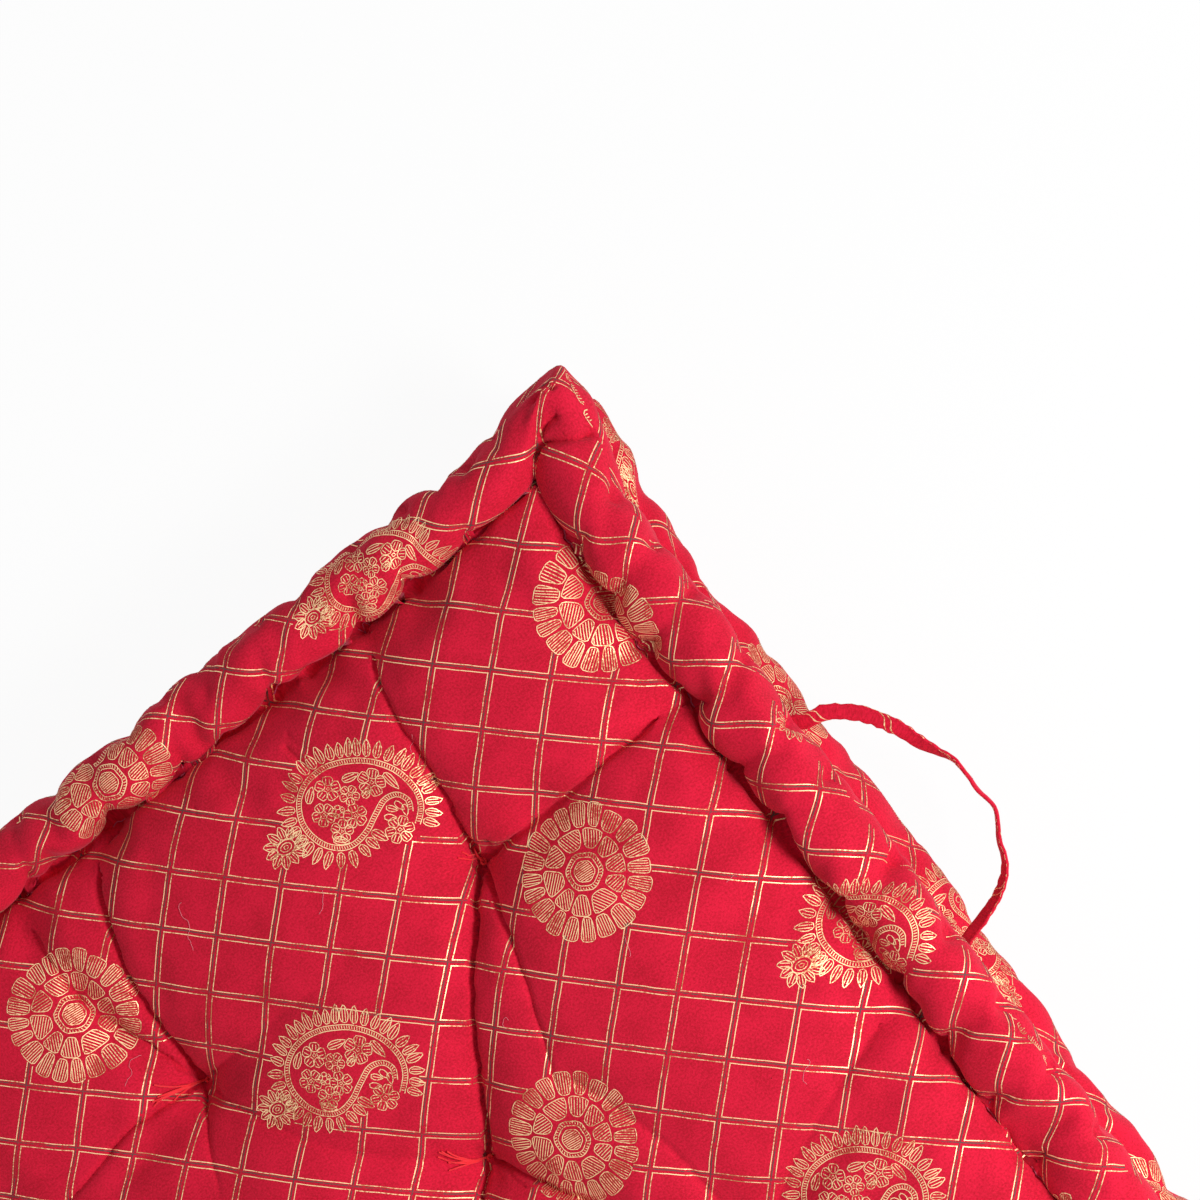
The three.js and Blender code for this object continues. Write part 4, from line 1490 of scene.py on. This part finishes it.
def tuftEnd(x0, y0, way, long):
    # one loose end of thread, bent to one side, that lies on the cloth
    bend = rng.uniform(-0.5, 0.5)
    shares = np.linspace(0, 1, 12)
    plan = [(x0 + long * t * math.cos(way + bend * t), y0 + long * t * math.sin(way + bend * t))
            for t in shares]
    path = [(x, y, z + rng.uniform(0, 0.5) * mm + threads["tuftArch"] * math.sin(math.pi * t))
            for (x, y, z), t in zip(lieOn(plan, threads["tuftLift"]), shares)]
    return smoothPath(path, 0.8 * mm)


def tuftKnot(x0, y0, z0):
    # most of a small slanting loop
    axis, radius = rng.uniform(0, math.pi), rng.uniform(*threads["knotRadius"]) * mm
    tip = rng.uniform(-0.6, 0.6)
    path = []
    for t in np.linspace(0, threads["knotTurn"], 12):
        ahead, aside = radius * math.cos(t), 0.6 * radius * math.sin(t)
        path.append((x0 + ahead * math.cos(axis) - aside * math.sin(axis),
                     y0 + ahead * math.sin(axis) + aside * math.cos(axis),
                     z0 + threads["knotLift"] + radius * 0.7 * math.sin(t + tip)))
    return path


def tuftPaths():
    ends, knots = [], []
    for number, (count, length, way, spreadAngle) in tuftThreads.items():
        x0, y0 = np.array(tufts["places"][number]) * mm
        for _ in range(count):
            a = math.radians(way + rng.uniform(-1, 1) * spreadAngle)
            ends.append(tuftEnd(x0, y0, a, length * mm * rng.uniform(0.7, 1.05)))
        z0 = surfaceZ(x0, y0)
        knots += [tuftKnot(x0, y0, z0) for _ in range(threads["knots"])]
    return ends + knots


lint = [(-38, 150, 26, 40), (-92, 128, 18, 100), (20, 128, 12, 10), (122, 30, 10, 60), (150, -60, 14, 120),
        (96, 160, 9, 30), (60, 40, 9, 80), (182, 30, 8, 150)]     # x, y, length in mm, way in degrees


def lintPaths():
    paths = []
    for x, y, long, way in lint:
        a, place, plan = math.radians(way), np.array([x, y]) * mm, []
        for _ in range(18):
            plan.append(place.copy())
            a += rng.uniform(-threads["lintCurl"], threads["lintCurl"])
            place += np.array([math.cos(a), math.sin(a)]) * long * mm / 18
        paths.append(smoothPath(lieOn(plan, threads["lintLift"]), 0.7 * mm))
    return paths


roundThread = threadTree()
makeThreads("valley_stitches", valleyPaths(), threads["stitchRadius"], 6, stitchYarn)
makeThreads("tuft_threads", tuftPaths(), threads["tuftRadius"], 6, redYarn)
makeThreads("lint", lintPaths(), threads["lintRadius"], 4, lintFibre)
print("threads made")

# Floor, world and lamp.
studio = {
    "world": 0.42, "keyPower": 17.5, "keySize": 0.45, "keyAt": (1.0, -0.56, 0.95),
    "floorHalf": 6, "floorGap": 0.5 * mm,
    "floorGlow": 0.94,                             # how far the camera sees the floor as plain white
}


white = linearColour(colours["white"])


def seenDirectly(tree):
    # 1 for what the camera sees itself or in a gloss, 0 for the light that falls on the cushion
    path = addNode(tree, "ShaderNodeLightPath").outputs
    first = addNode(tree, "ShaderNodeMath", {0: path["Is Camera Ray"], 1: path["Is Glossy Ray"]},
                    operation="MAXIMUM").outputs[0]
    return addNode(tree, "ShaderNodeMath", {0: first, 1: path["Is Transmission Ray"]},
                   operation="MAXIMUM").outputs[0]


def makeFloor():
    h = studio["floorHalf"]
    floor = meshObject("floor", [(-h, -h, 0), (h, -h, 0), (h, h, 0), (-h, h, 0)], [(0, 1, 2, 3)])
    floor.location.z = -studio["floorGap"]
    material, tree, skin = newMaterial("matt white paper")
    skin.inputs["Base Color"].default_value = linearColour(colours["paper"])
    skin.inputs["Roughness"].default_value = 0.9
    glow = addNode(tree, "ShaderNodeEmission", {"Color": white, "Strength": 1.0})
    share = addNode(tree, "ShaderNodeMath", {0: seenDirectly(tree), 1: studio["floorGlow"]},
                    operation="MULTIPLY")
    both = addNode(tree, "ShaderNodeMixShader", {
        0: share.outputs[0], 1: skin.outputs[0], 2: glow.outputs[0]})
    tree.links.new(both.outputs[0], tree.nodes["Material Output"].inputs["Surface"])
    floor.data.materials.append(material)


def makeWorld():
    world = bpy.data.worlds.new("studio")
    scene.world = world
    world.use_nodes = True
    tree = world.node_tree
    soft = tree.nodes["Background"]
    soft.inputs["Color"].default_value = white
    soft.inputs["Strength"].default_value = studio["world"]
    seen = addNode(tree, "ShaderNodeBackground", {"Color": white, "Strength": 1.0})
    both = addNode(tree, "ShaderNodeMixShader", {
        0: seenDirectly(tree), 1: soft.outputs[0], 2: seen.outputs[0]})
    tree.links.new(both.outputs[0], tree.nodes["World Output"].inputs["Surface"])


def makeLamp():
    lamp = bpy.data.lights.new("key", "AREA")
    lamp.size, lamp.energy = studio["keySize"], studio["keyPower"]
    key = bpy.data.objects.new("key", lamp)
    scene.collection.objects.link(key)
    key.location = studio["keyAt"]
    key.rotation_euler = (-Vector(studio["keyAt"])).to_track_quat("-Z", "Y").to_euler()


makeFloor()
makeWorld()
makeLamp()
scene.view_settings.view_transform = "Standard"
print("floor, world and lamp set")
